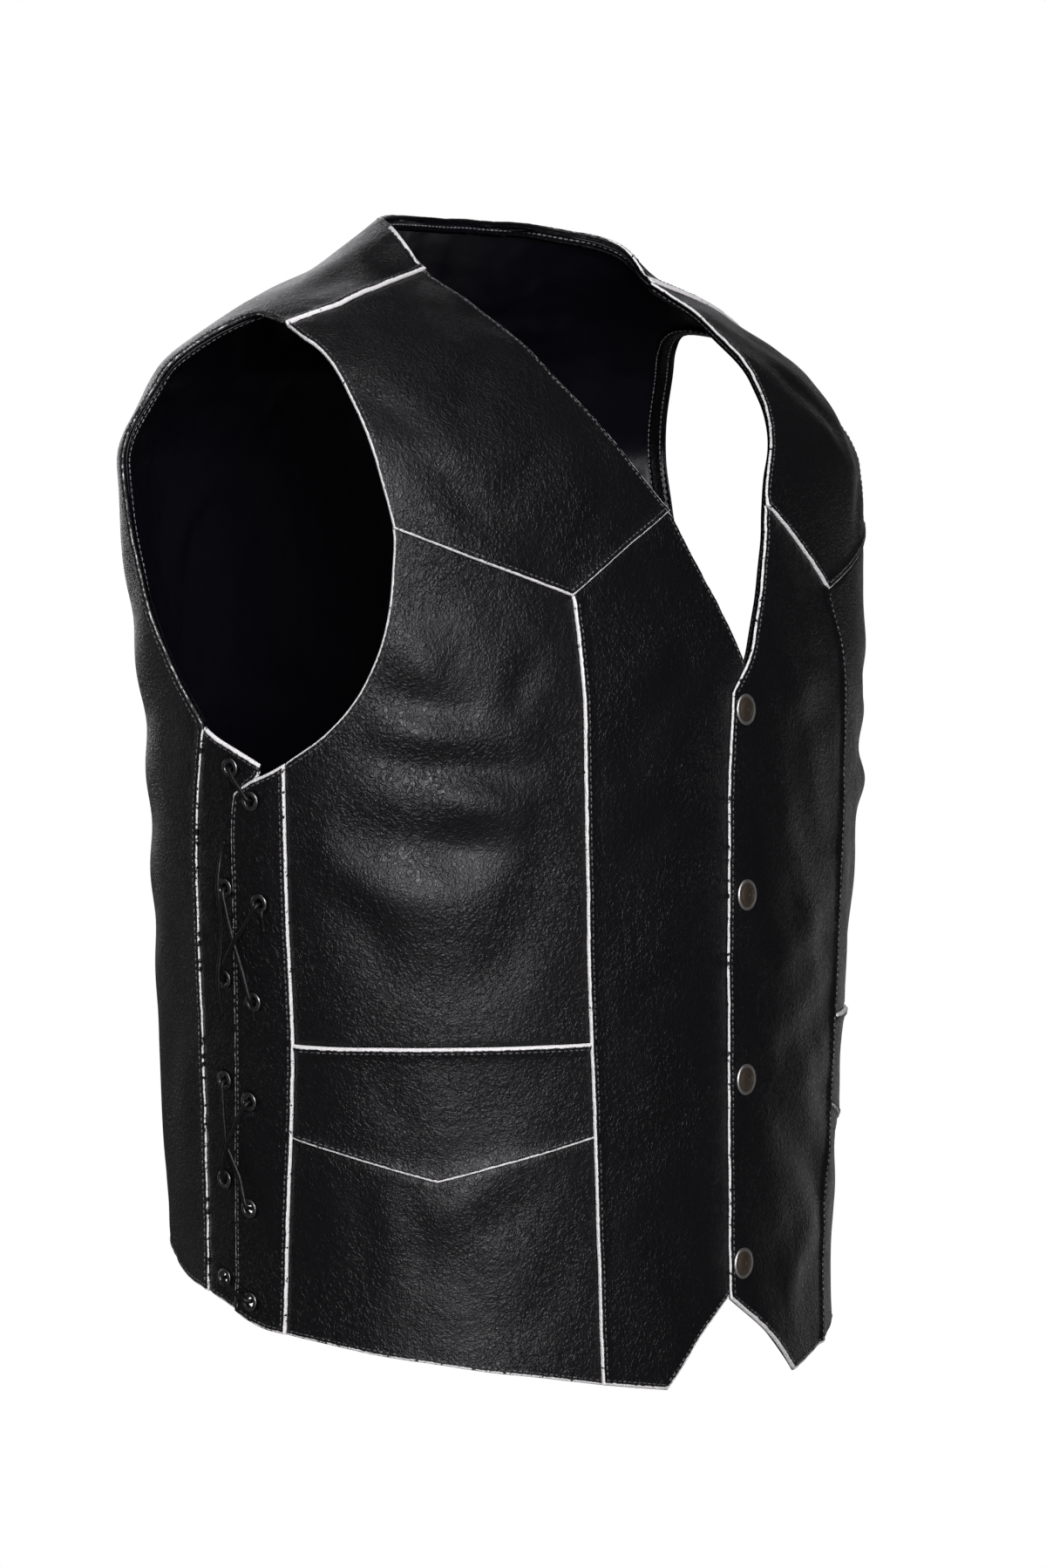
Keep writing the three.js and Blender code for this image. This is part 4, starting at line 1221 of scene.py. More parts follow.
@dataclass
class LeatherPanel:
    """One piece of the outer leather: a thin closed shell with its edges and stitches."""

    name: str
    patch: Patch
    finishes: Sequence[Finish]
    sewn_to: Sequence[str]
    raised: Optional[Array] = None
    holes: Optional[Array] = None
    calm: float = 1.0
    buckle: float = 0.45
    pucker: float = 0.22
    pucker_width: float = 13.0
    lip_from: float = 1.5
    dip_width: float = 3.0
    turned_from: float = 2.0
    turned_to: float = 6.0
    least: float = 0.25
    rub_reach: float = 3.0
    rub_inside: float = 0.3
    stride: int = 8
    phase: float = 0.37

    def __post_init__(self) -> None:
        """Works out the panel's faces.

        Its outer face lies a leather's thickness outside the drape, less the rounding of its
        edges, and its inner face on the drape, less what is turned in.
        """
        patch, finishes, raised, holes = self.patch, self.finishes, self.raised, self.holes
        at = patch.at
        lip, dip, rounding, turned, rubbed, worn = np.zeros((6, *at.shape[:2]))
        nearest = np.full(at.shape[:2], FAR)
        for finish in finishes:
            seam = finish.seam
            gap = np.maximum(distance_to(at, finish.line.fine) - LAYERS.seam, 0)
            nearest = np.minimum(nearest, gap)
            rise = 1 - smoothstep(gap, self.lip_from, LAYERS.lip_width)
            lip = np.maximum(lip, seam.lip * rise)
            dip = np.maximum(dip, seam.dip * (1 - smoothstep(gap, 0, self.dip_width)))
            fold = 1 - smoothstep(gap, self.turned_from, self.turned_to)
            turned = np.maximum(turned, seam.turned * fold)
            short = np.clip(1 - gap / seam.rim, 0, 1)
            rounding = np.maximum(rounding, seam.rim * (1 - np.sqrt(1 - short * short)))
            if seam.rub:
                close = seam.pale * np.clip(1 - gap / (self.rub_reach * seam.rub), 0, 1)
                worn = np.where(close > rubbed, seam.worn, worn)
                rubbed = np.maximum(rubbed, close)
        lifted = DRAPE.height(at) + (0 if raised is None else raised)
        lifted = lifted + self.buckle * self.calm * BUCKLE(at)
        pucker = np.exp(-((nearest / self.pucker_width) ** 2)) * self.pucker * PUCKER(at)
        top = lifted + LAYERS.leather + lip + pucker
        outer = top - dip - np.minimum(rounding, LAYERS.leather + turned - self.least)
        inner = lifted - turned
        gone = None
        if holes is not None:
            at, gone = self._round_holes(at, holes)
        points, faces, used = shell(at, patch.out, outer, inner, gone)
        self.points, self.faces = points, faces
        self.values = {
            "rubbed": np.outer((1, self.rub_inside), rubbed.ravel()).ravel()[used],
            "worn": np.tile(worn.ravel(), 2)[used],
        }

    def _round_holes(self, at: Array, holes: Array) -> tuple[Array, Array]:
        """Opens round holes in the grid.

        The cells with a corner inside a hole are left out, and the points left on the edge of
        that gap move onto the circle.

        Args:
            at: The grid's points.
            holes: Middles of the holes.

        Returns:
            The grid with its points moved, and the cells that are left out.
        """
        at = at.copy()
        gone = np.zeros((at.shape[0] - 1, at.shape[1] - 1), bool)
        radius = EYELET_HOLE
        for hole in holes:
            reach = norm(at - hole)
            inside = reach < radius
            here = inside[:-1, :-1] | inside[1:, :-1] | inside[:-1, 1:] | inside[1:, 1:]
            gone |= here
            corner = np.zeros(reach.shape, bool)
            for rows in (np.s_[:-1], np.s_[1:]):
                for columns in (np.s_[:-1], np.s_[1:]):
                    corner[rows, columns] |= here
            edge = corner & ~inside
            away = at[edge] - hole
            at[edge] = hole + unit(away) * radius
        return at, gone

    def build(self, material: Material, thread: Material) -> None:
        """Makes the panel's object and its stitches.

        Args:
            material: The leather.
            thread: The stitches' finish.
        """
        made = make_object(self.name + "_leather", self.points, self.faces, material, self.values)
        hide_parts(self.name)
        size, area = self.patch.flat()
        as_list(self.sewn_to)
        tree = BVHTree.FromPolygons((self.points * MM).tolist(), self.faces.tolist())
        sewing = Thread()
        for k, finish in enumerate(self.finishes):
            if finish.seam.stitches:
                line = offset(finish.line.fine[:: Border.PER_ROW // self.stride], self.patch,
                              finish.seam.stitches)
                sewing.sew(line, tree, (k * self.phase) % 1)
        sewing.build("stitches_" + self.name, thread, made)


def middle(a: Pair, b: Pair) -> Pair:
    """The pair halfway between two."""
    return ((a[0] + b[0]) / 2, (a[1] + b[1]) / 2)


def between(a: Pair, b: Pair, share: float) -> Pair:
    """The pair at a share of the way from one to another."""
    return (a[0] + (b[0] - a[0]) * share, a[1] + (b[1] - a[1]) * share)


@dataclass
class FrontPattern:
    """The borders of one side's front panels, which neighbours share."""

    side: Side
    centre_shares: tuple[float, ...] = (0, 0.17, 0.34, 0.56, 0.78, 1)
    hem_shares: tuple[float, ...] = (0, 0.3, 0.6, 1)
    lap_full: float = 0.34
    lap_none: float = 0.78
    lap_rows: int = 3
    arm_rows: int = 5

    def __post_init__(self) -> None:
        """Runs the borders along the pattern lines."""
        side = self.side
        shape = FRONTS[side]
        arm_end = ARMHOLE_FRONT[CHEVRON_ARM]
        neck_end = shape.neck[CHEVRON_NECK]
        corner = shape.edge[-1]
        princess = (shape.tip, *PRINCESS_BELOW_TIP)
        run = Border.run
        self.shoulder = run(SHOULDER, side, 11)
        self.neck_upper = run(shape.neck, side, 7, 0, CHEVRON_NECK)
        self.neck_lower = run(shape.neck, side, 4, CHEVRON_NECK)
        self.edge = run(shape.edge, side, 11)
        self.arm_upper = run(ARMHOLE_FRONT, side, 7, 0, CHEVRON_ARM)
        self.arm_lower = run(ARMHOLE_FRONT, side, self.arm_rows, CHEVRON_ARM)
        self.chevron_neck = run(
            (neck_end, middle(neck_end, shape.tip), shape.tip), side, 5, shares=self.centre_shares
        )
        self.chevron_arm = run((shape.tip, middle(shape.tip, arm_end), arm_end), side, 6)
        self.princess_upper = run(princess, side, 9, 0, PRINCESS_MOUTH)
        self.princess_band = run(princess, side, 2, PRINCESS_MOUTH, PRINCESS_V)
        self.princess_lower = run(princess, side, 4, PRINCESS_V)
        self.seam_upper = run(SIDE_SEAM, side, 4, 0, SIDE_MOUTH)
        self.seam_band = run(SIDE_SEAM, side, 2, SIDE_MOUTH, SIDE_V)
        self.seam_lower = run(SIDE_SEAM, side, 4, SIDE_V)
        self.mouth = run(POCKET_MOUTH, side, 6)
        self.pocket_v = Border.chain(run(POCKET_V_FRONT, side, 3), run(POCKET_V_SIDE, side, 3))
        self.hem_side = run(HEM_SIDE, side, 6)
        self.hem_corner = run(
            (corner, middle(corner, shape.point), shape.point), side, 3, shares=self.hem_shares
        )
        self.hem_point = run(
            (shape.point, middle(shape.point, princess[-1]), princess[-1]), side, 2
        )
        self.lace_top = run(LACE_FRONT_TOP, side, 3)
        self.lace_hem = run(LACE_FRONT_HEM, side, 3)
        self.lace_edge = run(LACE_FRONT_EDGE, side, 10)

    def borders(self) -> dict[str, Edges]:
        """The four borders of each panel: top, bottom, front one and side one."""
        chain = Border.chain
        princess = chain(self.princess_upper, self.princess_band, self.princess_lower)
        seam = chain(self.seam_upper, self.seam_band, self.seam_lower)
        return {
            "yoke": Edges(
                self.shoulder, chain(self.chevron_neck, self.chevron_arm), self.neck_upper,
                self.arm_upper,
            ),
            "upper": Edges(
                self.chevron_arm, self.mouth, self.princess_upper,
                chain(self.arm_lower, self.seam_upper),
            ),
            "band": Edges(self.mouth, self.pocket_v, self.princess_band, self.seam_band),
            "lower": Edges(self.pocket_v, self.hem_side, self.princess_lower, self.seam_lower),
            "centre": Edges(
                self.chevron_neck, chain(self.hem_corner, self.hem_point),
                chain(self.neck_lower, self.edge), princess,
            ),
            "lacing": Edges(self.lace_top, self.lace_hem, seam, self.lace_edge),
        }

    def lap(self, patch: Patch) -> Array:
        """How far the left centre front is raised: fully by its edge and not at its top.

        Args:
            patch: Its grid.

        Returns:
            One height for each point of the grid.
        """
        share = np.interp(patch.column, np.arange(len(self.centre_shares)), self.centre_shares)
        across = 1 - smoothstep(share, self.lap_full, self.lap_none)
        return LAYERS.overlap * across * smoothstep(patch.row, 0, self.lap_rows)


@dataclass
class Outer:
    """All the outer leather panels."""

    cell: float = 3.5
    fine_cell: float = 2.0
    lace_calm: float = 0.4
    lace_rise: Pair = (-0.2, 0.9)
    fronts: dict[Side, FrontPattern] = field(
        default_factory=lambda: {side: FrontPattern(side) for side in Side}
    )
    panels: list[LeatherPanel] = field(default_factory=list)

    def __post_init__(self) -> None:
        """Works out the panels of both sides and the back."""
        for side in Side:
            self._front(side)
            self._lacing(side)
        self._back()

    def _patch(self, borders: Edges, cell: float) -> Patch:
        """A panel's grid, clear of its neighbours by the seam's gap."""
        edge = even(LAYERS.seam)
        return Patch(borders, cell, Edges(edge, edge, edge, edge))

    def _add(self, name: str, patch: Patch, seams: Sequence[tuple[Border, Seam]],
             sewn_to: Sequence[str], **options: object) -> None:
        """Adds one panel.

        Args:
            name: Its name in the CAD model.
            patch: Its grid.
            seams: The stretches of its border with their seams.
            sewn_to: The pieces that it hangs from; not used.
            **options: Other fields of the panel.
        """
        finishes = [Finish(line, seam) for line, seam in seams]
        self.panels.append(LeatherPanel(name, patch, finishes, sewn_to, **options))

    def _front(self, side: Side) -> None:
        """The five panels of one front."""
        p = self.fronts[side]
        grids = p.borders()
        label = side.label
        right = side is R
        princess = LAPPED if right else LAPPED_DARK
        neck = FREE_DASHED if right else FREE_THIN
        yoke = self._patch(grids["yoke"], self.cell)
        self._add("front_yoke_" + label, yoke, (
            (p.shoulder, UNDER), (p.chevron_neck, LAPPED), (p.chevron_arm, LAPPED),
            (p.neck_upper, neck), (p.arm_upper, FREE),
        ), ["back_panel_leather"])
        upper = self._patch(grids["upper"], self.cell)
        self._add("side_front_upper_" + label, upper, (
            (p.chevron_arm, UNDER), (p.mouth, UNDER), (p.princess_upper, UNDER),
            (p.arm_lower, FREE), (p.seam_upper, UNDER),
        ), ["front_yoke_" + label + "_leather"])
        band = self._patch(grids["band"], self.cell)
        self._add("pocket_band_" + label, band, (
            (p.mouth, MOUTH), (p.pocket_v, THIN_LAP), (p.princess_band, UNDER),
            (p.seam_band, UNDER),
        ), ["side_front_upper_" + label + "_leather"])
        lower = self._patch(grids["lower"], self.cell)
        self._add("side_front_lower_" + label, lower, (
            (p.pocket_v, UNDER), (p.hem_side, HEM), (p.princess_lower, UNDER),
            (p.seam_lower, UNDER),
        ), ["pocket_band_" + label + "_leather"])
        centre = self._patch(grids["centre"], self.cell)
        self._add("centre_front_" + label, centre, (
            (p.chevron_neck, UNDER), (p.neck_lower, neck), (p.edge, FRONT_EDGE),
            (p.hem_corner, FREE_THICK), (p.hem_point, FREE_THICK),
            (p.princess_upper, princess), (p.princess_band, princess),
            (p.princess_lower, princess),
        ), ["front_yoke_" + label + "_leather"], raised=None if right else p.lap(centre))

    def _lacing(self, side: Side) -> None:
        """The two panels that the lacing joins."""
        p = self.fronts[side]
        label = side.label
        patch = self._patch(p.borders()["lacing"], self.fine_cell)
        raised = LAYERS.overlap * smoothstep(patch.column, *self.lace_rise)
        self._add("lace_panel_front_" + label, patch, (
            (p.lace_top, FREE_THICK), (p.lace_hem, HEM), (p.seam_upper, SIDE_LAP),
            (p.seam_band, SIDE_LAP), (p.seam_lower, SIDE_LAP), (p.lace_edge, FREE_DASHED),
        ), ["side_front_upper_" + label + "_leather"], raised=raised,
            holes=FORM.on(np.array(EYELETS_FRONT), side), calm=self.lace_calm)
        shares = Back.seam_shares
        top = Border.run(LACE_BACK_TOP, side, 3)
        hem = Border.run(LACE_BACK_HEM, side, 3)
        edge = Border.run(LACE_BACK_EDGE, side, 8, shares=shares)
        seam = Border.run(BACK_SEAM, side, 8, shares=shares)
        patch = self._patch(Edges(top, hem, edge, seam), self.fine_cell)
        self._add("lace_panel_back_" + label, patch, (
            (top, FREE_THICK), (hem, HEM), (edge, FREE_DASHED), (seam, UNDER),
        ), ["back_panel_leather"], holes=FORM.on(np.array(EYELETS_BACK), side), calm=self.lace_calm)

    def _back(self) -> None:
        """The back panel, which goes over both shoulders."""
        back = Back()
        patch = self._patch(back.borders(), self.cell)
        self._add("back_panel", patch, back.seams(), [])


@dataclass
class Back:
    """The borders of the back panel."""

    seam_shares: tuple[float, ...] = (0, 0.1, 0.21, 0.34, 0.48, 0.62, 0.76, 0.89, 1)
    arm_shares: tuple[float, ...] = (
        0, 0.035, 0.075, 0.125, 0.185, 0.26, 0.36, 0.5, 0.66, 0.83, 1,
    )
    shoulder_rows: int = 3
    neck_rows: int = 5
    arm_rows: int = 10

    def __post_init__(self) -> None:
        """Makes the right half's borders."""
        run = Border.run
        self.shoulder = run(SHOULDER[::-1], R, self.shoulder_rows)
        self.neck = run(BACK_NECK, R, self.neck_rows)
        self.neck_side = run(BACK_NECK, R, 2, 0, 3)
        self.neck_middle = run(BACK_NECK, R, 3, 3)
        self.armhole = run(ARMHOLE_BACK[::-1], R, self.arm_rows, shares=self.arm_shares)
        self.seam = run(BACK_SEAM, R, 8, shares=self.seam_shares)
        self.hem = run(HEM_BACK, R, self.shoulder_rows + self.neck_rows)

    def borders(self) -> Edges:
        """The four borders of the whole panel, from the right side to the left one."""
        chain = Border.chain
        top = chain(self.shoulder, self.neck)
        flank = chain(self.armhole, self.seam)
        return Edges(
            chain(top, top.mirrored().back()),
            chain(self.hem, self.hem.mirrored().back()),
            flank,
            flank.mirrored(),
        )

    def neck_trim(self, columns: Array) -> Array:
        """The lining's distance from the top border: inset at the neck, by the seams elsewhere."""
        last = self.shoulder_rows + 2 * self.neck_rows
        at_neck = (columns >= self.shoulder_rows) & (columns <= last)
        return np.where(at_neck, LAYERS.inset, LAYERS.seam)

    def seams(self) -> list[tuple[Border, Seam]]:
        """The stretches of the border with their seams, both sides."""
        stretches = (
            (self.shoulder, SHOULDER_LAP, SHOULDER_LAP),
            (self.neck_side, NECK_CORNER, FREE_THIN),
            (self.neck_middle, FREE_DARK, FREE_DARK),
            (self.armhole, FREE_DARK, FREE),
            (self.seam, BACK_LACE_SEAM, BACK_LACE_SEAM),
            (self.hem, HEM, HEM),
        )
        right = [(line, seam) for line, seam, _ in stretches]
        return right + [(line.mirrored(), seam) for line, _, seam in stretches]


def beside_armhole(rows: int) -> Trim:
    """A trim that is the lining's inset beside an armhole of given rows, and small below it."""
    return lambda at: np.where(at <= rows, LAYERS.inset, LAYERS.seam)


@dataclass
class Inside:
    """The satin lining, and the leather strips inside the neck and the armholes."""

    outer: Outer
    satin: Material
    leather: Material
    thread: Material
    cell: float = 5.0
    back_cell: float = 3.8
    satin_fold: float = 0.25
    strip_steps: int = 15
    strip_start: float = 1.2
    strip_more: float = 2.0
    strip_cell: float = 4.0
    strip_near: float = 0.5
    strip_clear: float = 0.2
    strip_sinks: float = 9.0
    strip_rim: float = 0.9
    strip_rim_width: float = 1.6
    strip_buckle: float = 0.4
    strip_rub_width: float = 3.0
    strip_rubbed: float = 0.3
    strip_worn: float = 0.7
    strip_stitch: float = 2.6
    strip_phase: float = 0.4
    folds: Ripples = field(default_factory=lambda: Ripples(42, 21))

    def _lining_height(self, at: Array) -> Array:
        """Distances of the lining's outer face from the form.

        The drape less the lining's level, and less its own small folds and listed ones.

        Args:
            at: Points on the form.

        Returns:
            One distance for each point.
        """
        folds = self.satin_fold * (np.clip(self.folds(at), -1, 1) - 1)
        for fold in LINING_FOLDS:
            folds = folds + fold.height(at)
        return DRAPE.height(at) - LAYERS.lining_outside + np.minimum(folds, 0)

    def _lining(self, name: str, patches: Sequence[Patch]) -> None:
        """One piece of lining from one or more grids.

        Args:
            name: The lining's name in the CAD model.
            patches: Its grids, from the top down.
        """
        points, faces, start = [], [], 0
        width = length = area = 0.0
        for patch in patches:
            outer = self._lining_height(patch.at)
            here, cells, _ = shell(patch.at, patch.out, outer, outer - LAYERS.lining)
            points.append(here)
            faces.append(cells + start)
            start += len(here)
            size, share = patch.flat()
            width, length, area = max(width, size[0]), length + size[1], area + share
        made = make_object(name + "_satin", np.vstack(points), np.vstack(faces), self.satin)
        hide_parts(name)
        length = max(length, area / width * FLAT_SLACK)

    def _strip(self, name: str, line: Array, patch_points: Array) -> None:
        """One facing along a border line.

        Args:
            name: The facing's name in the CAD model.
            line: The leather's edge.
            patch_points: Places inside the leather, to tell which way the strip lies.
        """
        total = lengths_along(line)[-1]
        line = resample(line, np.linspace(0, total, int(total / self.strip_cell)))
        end = self.strip_start + LAYERS.strip + self.strip_more
        distances = np.linspace(self.strip_start, end, self.strip_steps)
        rows, at, done = [], line, 0.0
        for distance in distances:
            at = step_in(at, patch_points, distance - done)
            done = distance
            rows.append(at)
        at, out = FORM.settle(np.array(rows))
        near = smoothstep(distances, 0, self.strip_sinks)[:, None]
        level = LAYERS.facing_outside + self.strip_clear
        depth = self.strip_near + (level - self.strip_near) * near
        short = np.minimum(distances - distances[0], distances[-1] - distances)
        share = np.clip(1 - short / self.strip_rim_width, 0, 1)
        rim = self.strip_rim * (1 - np.sqrt(1 - share**2))[:, None]
        lifted = DRAPE.height(at) + self.strip_buckle * BUCKLE(at)
        outer = lifted - depth
        inner = outer - LAYERS.facing + rim
        points, faces, used = shell(at, out, outer, inner)
        close = np.clip(1 - short / self.strip_rub_width, 0, 1)[:, None] * np.ones(at.shape[:2])
        values = {
            "rubbed": np.tile(self.strip_rubbed * close.ravel(), 2)[used],
            "worn": np.full(len(used), self.strip_worn),
        }
        made = make_object(name + "_leather", points, faces, self.leather, values)
        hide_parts(name)
        tree = BVHTree.FromPolygons((points * MM).tolist(), faces.tolist())
        sewing = Thread()
        for distance in (distances[0] + self.strip_stitch, distances[-1] - self.strip_stitch):
            way = step_in(line, patch_points, distance)
            sewing.sew(way, tree, self.strip_phase, inside=True)
        sewing.build("stitches_" + name, self.thread, made)

    def build(self) -> None:
        """Makes all the linings and facings."""
        inset, edge = even(LAYERS.inset), even(LAYERS.seam)
        back = Back()
        armhole = beside_armhole(back.arm_rows)
        trims = Edges(back.neck_trim, inset, armhole, armhole)
        whole = Patch(back.borders(), self.back_cell, trims)
        self._lining("back_lining", [whole])
        inside = whole.at[3:-3:8, 3:-3:8].reshape(-1, 3)
        neck_line = Border.chain(back.neck, back.neck.mirrored().back()).fine
        self._strip("neck_facing_back", neck_line, inside)
        for side in Side:
            p = self.outer.fronts[side]
            label = side.label
            grids = p.borders()
            cell = self.cell
            arm = beside_armhole(p.arm_rows)
            patches = [
                Patch(grids["yoke"], cell, Edges(edge, edge, inset, inset)),
                Patch(grids["upper"], cell, Edges(edge, edge, edge, arm)),
                Patch(grids["band"], cell, Edges(edge, edge, edge, edge)),
                Patch(grids["lower"], cell, Edges(edge, inset, edge, edge)),
                Patch(grids["centre"], cell, Edges(edge, inset, inset, edge)),
            ]
            self._lining("front_lining_" + label, patches)
            front = np.vstack([q.at[2:-2:6, 2:-2:6].reshape(-1, 3) for q in patches])
            line = Border.chain(p.neck_upper, p.neck_lower).fine
            self._strip("neck_facing_" + label, line, front)
            behind = back.armhole if side is R else back.armhole.mirrored()
            loop = Border.chain(Border.chain(p.arm_upper, p.arm_lower).back(), behind).fine
            both = np.vstack([front, inside])
            self._strip("armhole_facing_" + label, loop, both)


STEP_IN = 2.0
STEP_MEAN = 5
STEP_VOTES = 24
STEP_NEAR = 4


def step_in(line: Array, inside: Array, distance: float) -> Array:
    """A line on the form at a distance from another, towards given places inside the leather.

    It moves in short steps square to its own direction, which is a moving mean, and to the side
    that most places are on.

    Args:
        line: Points of the other line.
        inside: The places.
        distance: How far in the line lies.

    Returns:
        The line's points.
    """
    count = max(int(math.ceil(distance / STEP_IN)), 1)
    at = line
    for _ in range(count):
        at, out = FORM.settle(at)
        way = np.gradient(at, axis=0)
        kernel = np.ones(STEP_MEAN) / STEP_MEAN
        reach = STEP_MEAN // 2
        ends = np.vstack([way[:1]] * reach + [way] + [way[-1:]] * reach)
        way = unit(smoothed(ends, kernel))
        side = np.cross(out, way)
        votes = 0.0
        for k in range(0, len(at), max(len(at) // STEP_VOTES, 1)):
            gap = inside - at[k]
            near = np.argsort(norm(gap))[:STEP_NEAR]
            votes += float(np.sign(gap[near].mean(axis=0) @ side[k]))
        at = at + side * np.sign(votes) * (distance / count)
    return FORM.settle(at)[0]


def turned_solid(profile: Sequence[Pair], sides: int) -> tuple[Array, Array]:
    """A solid turned about Z from a closed outline of radius and height pairs.

    Pairs of radius 0 become poles; the other pairs become rings.
    """
    turn = 2 * np.pi * np.arange(sides) / sides
    rings = [
        np.stack([r * np.cos(turn), r * np.sin(turn), np.full(sides, h)], axis=-1)
        for r, h in profile
    ]
    points = np.vstack(rings)
    number = np.arange(len(points)).reshape(len(profile), sides)
    after = np.roll(number, -1, axis=1)
    below = np.roll(number, -1, axis=0)
    below_after = np.roll(after, -1, axis=0)
    faces = np.stack([number, after, below_after, below], axis=-1).reshape(-1, 4)
    return points, faces


def square_to(at: Array, out: Array, points: Array) -> Array:
    """Points of a part set with its Z along a direction."""
    turn = np.array(Vector((0, 0, 1)).rotation_difference(Vector(out)).to_matrix())
    return at + points @ turn.T


@dataclass(frozen=True)
class Hardware:
    """The eyelets and the snap caps."""

    eyelet: tuple[Pair, ...] = (
        (2.9, -1.35), (3.0, -1.55), (3.4, -1.62), (4.1, -1.4), (4.35, -1.1), (3.35, -1.08),
        (3.35, 1.05), (5.15, 1.07), (5.25, 1.2), (5.1, 1.45), (4.5, 1.85), (3.8, 1.95),
        (3.2, 1.8), (2.95, 1.5), (2.85, 1.0),
    )
    cap: tuple[Pair, ...] = (
        (0.02, 0.0), (7.9, 0.0), (8.4, 0.25), (8.5, 0.7), (8.25, 1.25), (7.7, 1.5), (7.1, 1.42),
        (6.6, 1.15), (6.2, 1.1), (5.6, 1.35), (4.6, 1.72), (3.2, 2.0), (1.6, 2.15), (0.02, 2.2),
    )
    eyelet_sides: int = 28
    cap_sides: int = 56
    seat: float = 3.8
    rim_from: float = 6.45

    def eyelets(self, metal: Material) -> None:
        """Sets every eyelet in its panel.

        Args:
            metal: Their finish.
        """
        points, faces = turned_solid(self.eyelet, self.eyelet_sides)
        for side in Side:
            for panel, raised in ((Panel.FRONT, LAYERS.overlap), (Panel.BACK, 0.0)):
                at, out = FORM.settle(FORM.on(np.array(panel.eyelets), side))
                for k in range(len(at)):
                    node = f"eyelet_{panel.value}_{side.label}_{k + 1}"
                    middle_at = at[k] + out[k] * (raised + LAYERS.leather / 2)
                    placed = square_to(middle_at, out[k], points)
                    made = make_object(node + "_ring", placed, faces, metal)
                    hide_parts(node)

    def caps(self, brass: Material, nickel: Material) -> None:
        """Sets the snap caps on the left front.

        Args:
            brass: Finish of the domes.
            nickel: Finish of the rubbed rims.
        """
        points, faces = turned_solid(self.cap, self.cap_sides)
        at, out = FORM.settle(FORM.on(np.array([(0, height) for height in SNAP_HEIGHTS]), L))
        radius = norm(points[faces][..., :2]).mean(axis=1)
        for k in range(len(SNAP_HEIGHTS)):
            node = f"snap_cap_{k + 1}"
            placed = square_to(at[k] + out[k] * self.seat, out[k], points)
            made = make_object(node + "_dome", placed, faces, brass)
            made.data.materials.append(nickel)
            slots = (radius > self.rim_from).astype(np.int32)
            made.data.polygons.foreach_set("material_index", slots)
            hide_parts(node)


class Panel(Enum):
    """The two lacing panels of a side."""

    FRONT = "front"
    BACK = "back"

    @property
    def eyelets(self) -> tuple[Pair, ...]:
        """Its eyelets."""
        return EYELETS_FRONT if self is Panel.FRONT else EYELETS_BACK

    @property
    def levels(self) -> Station:
        """A lace's distances from the form there: outside, in the eyelet and inside."""
        return (6.3, 2.8, -0.7) if self is Panel.FRONT else (4.2, 0.7, -2.8)


@dataclass(frozen=True)
class Stop:
    """One eyelet on the way of a lace."""

    column: Panel
    row: int
    inwards: bool
    over: float = 0.0
    bow: float = 0.0


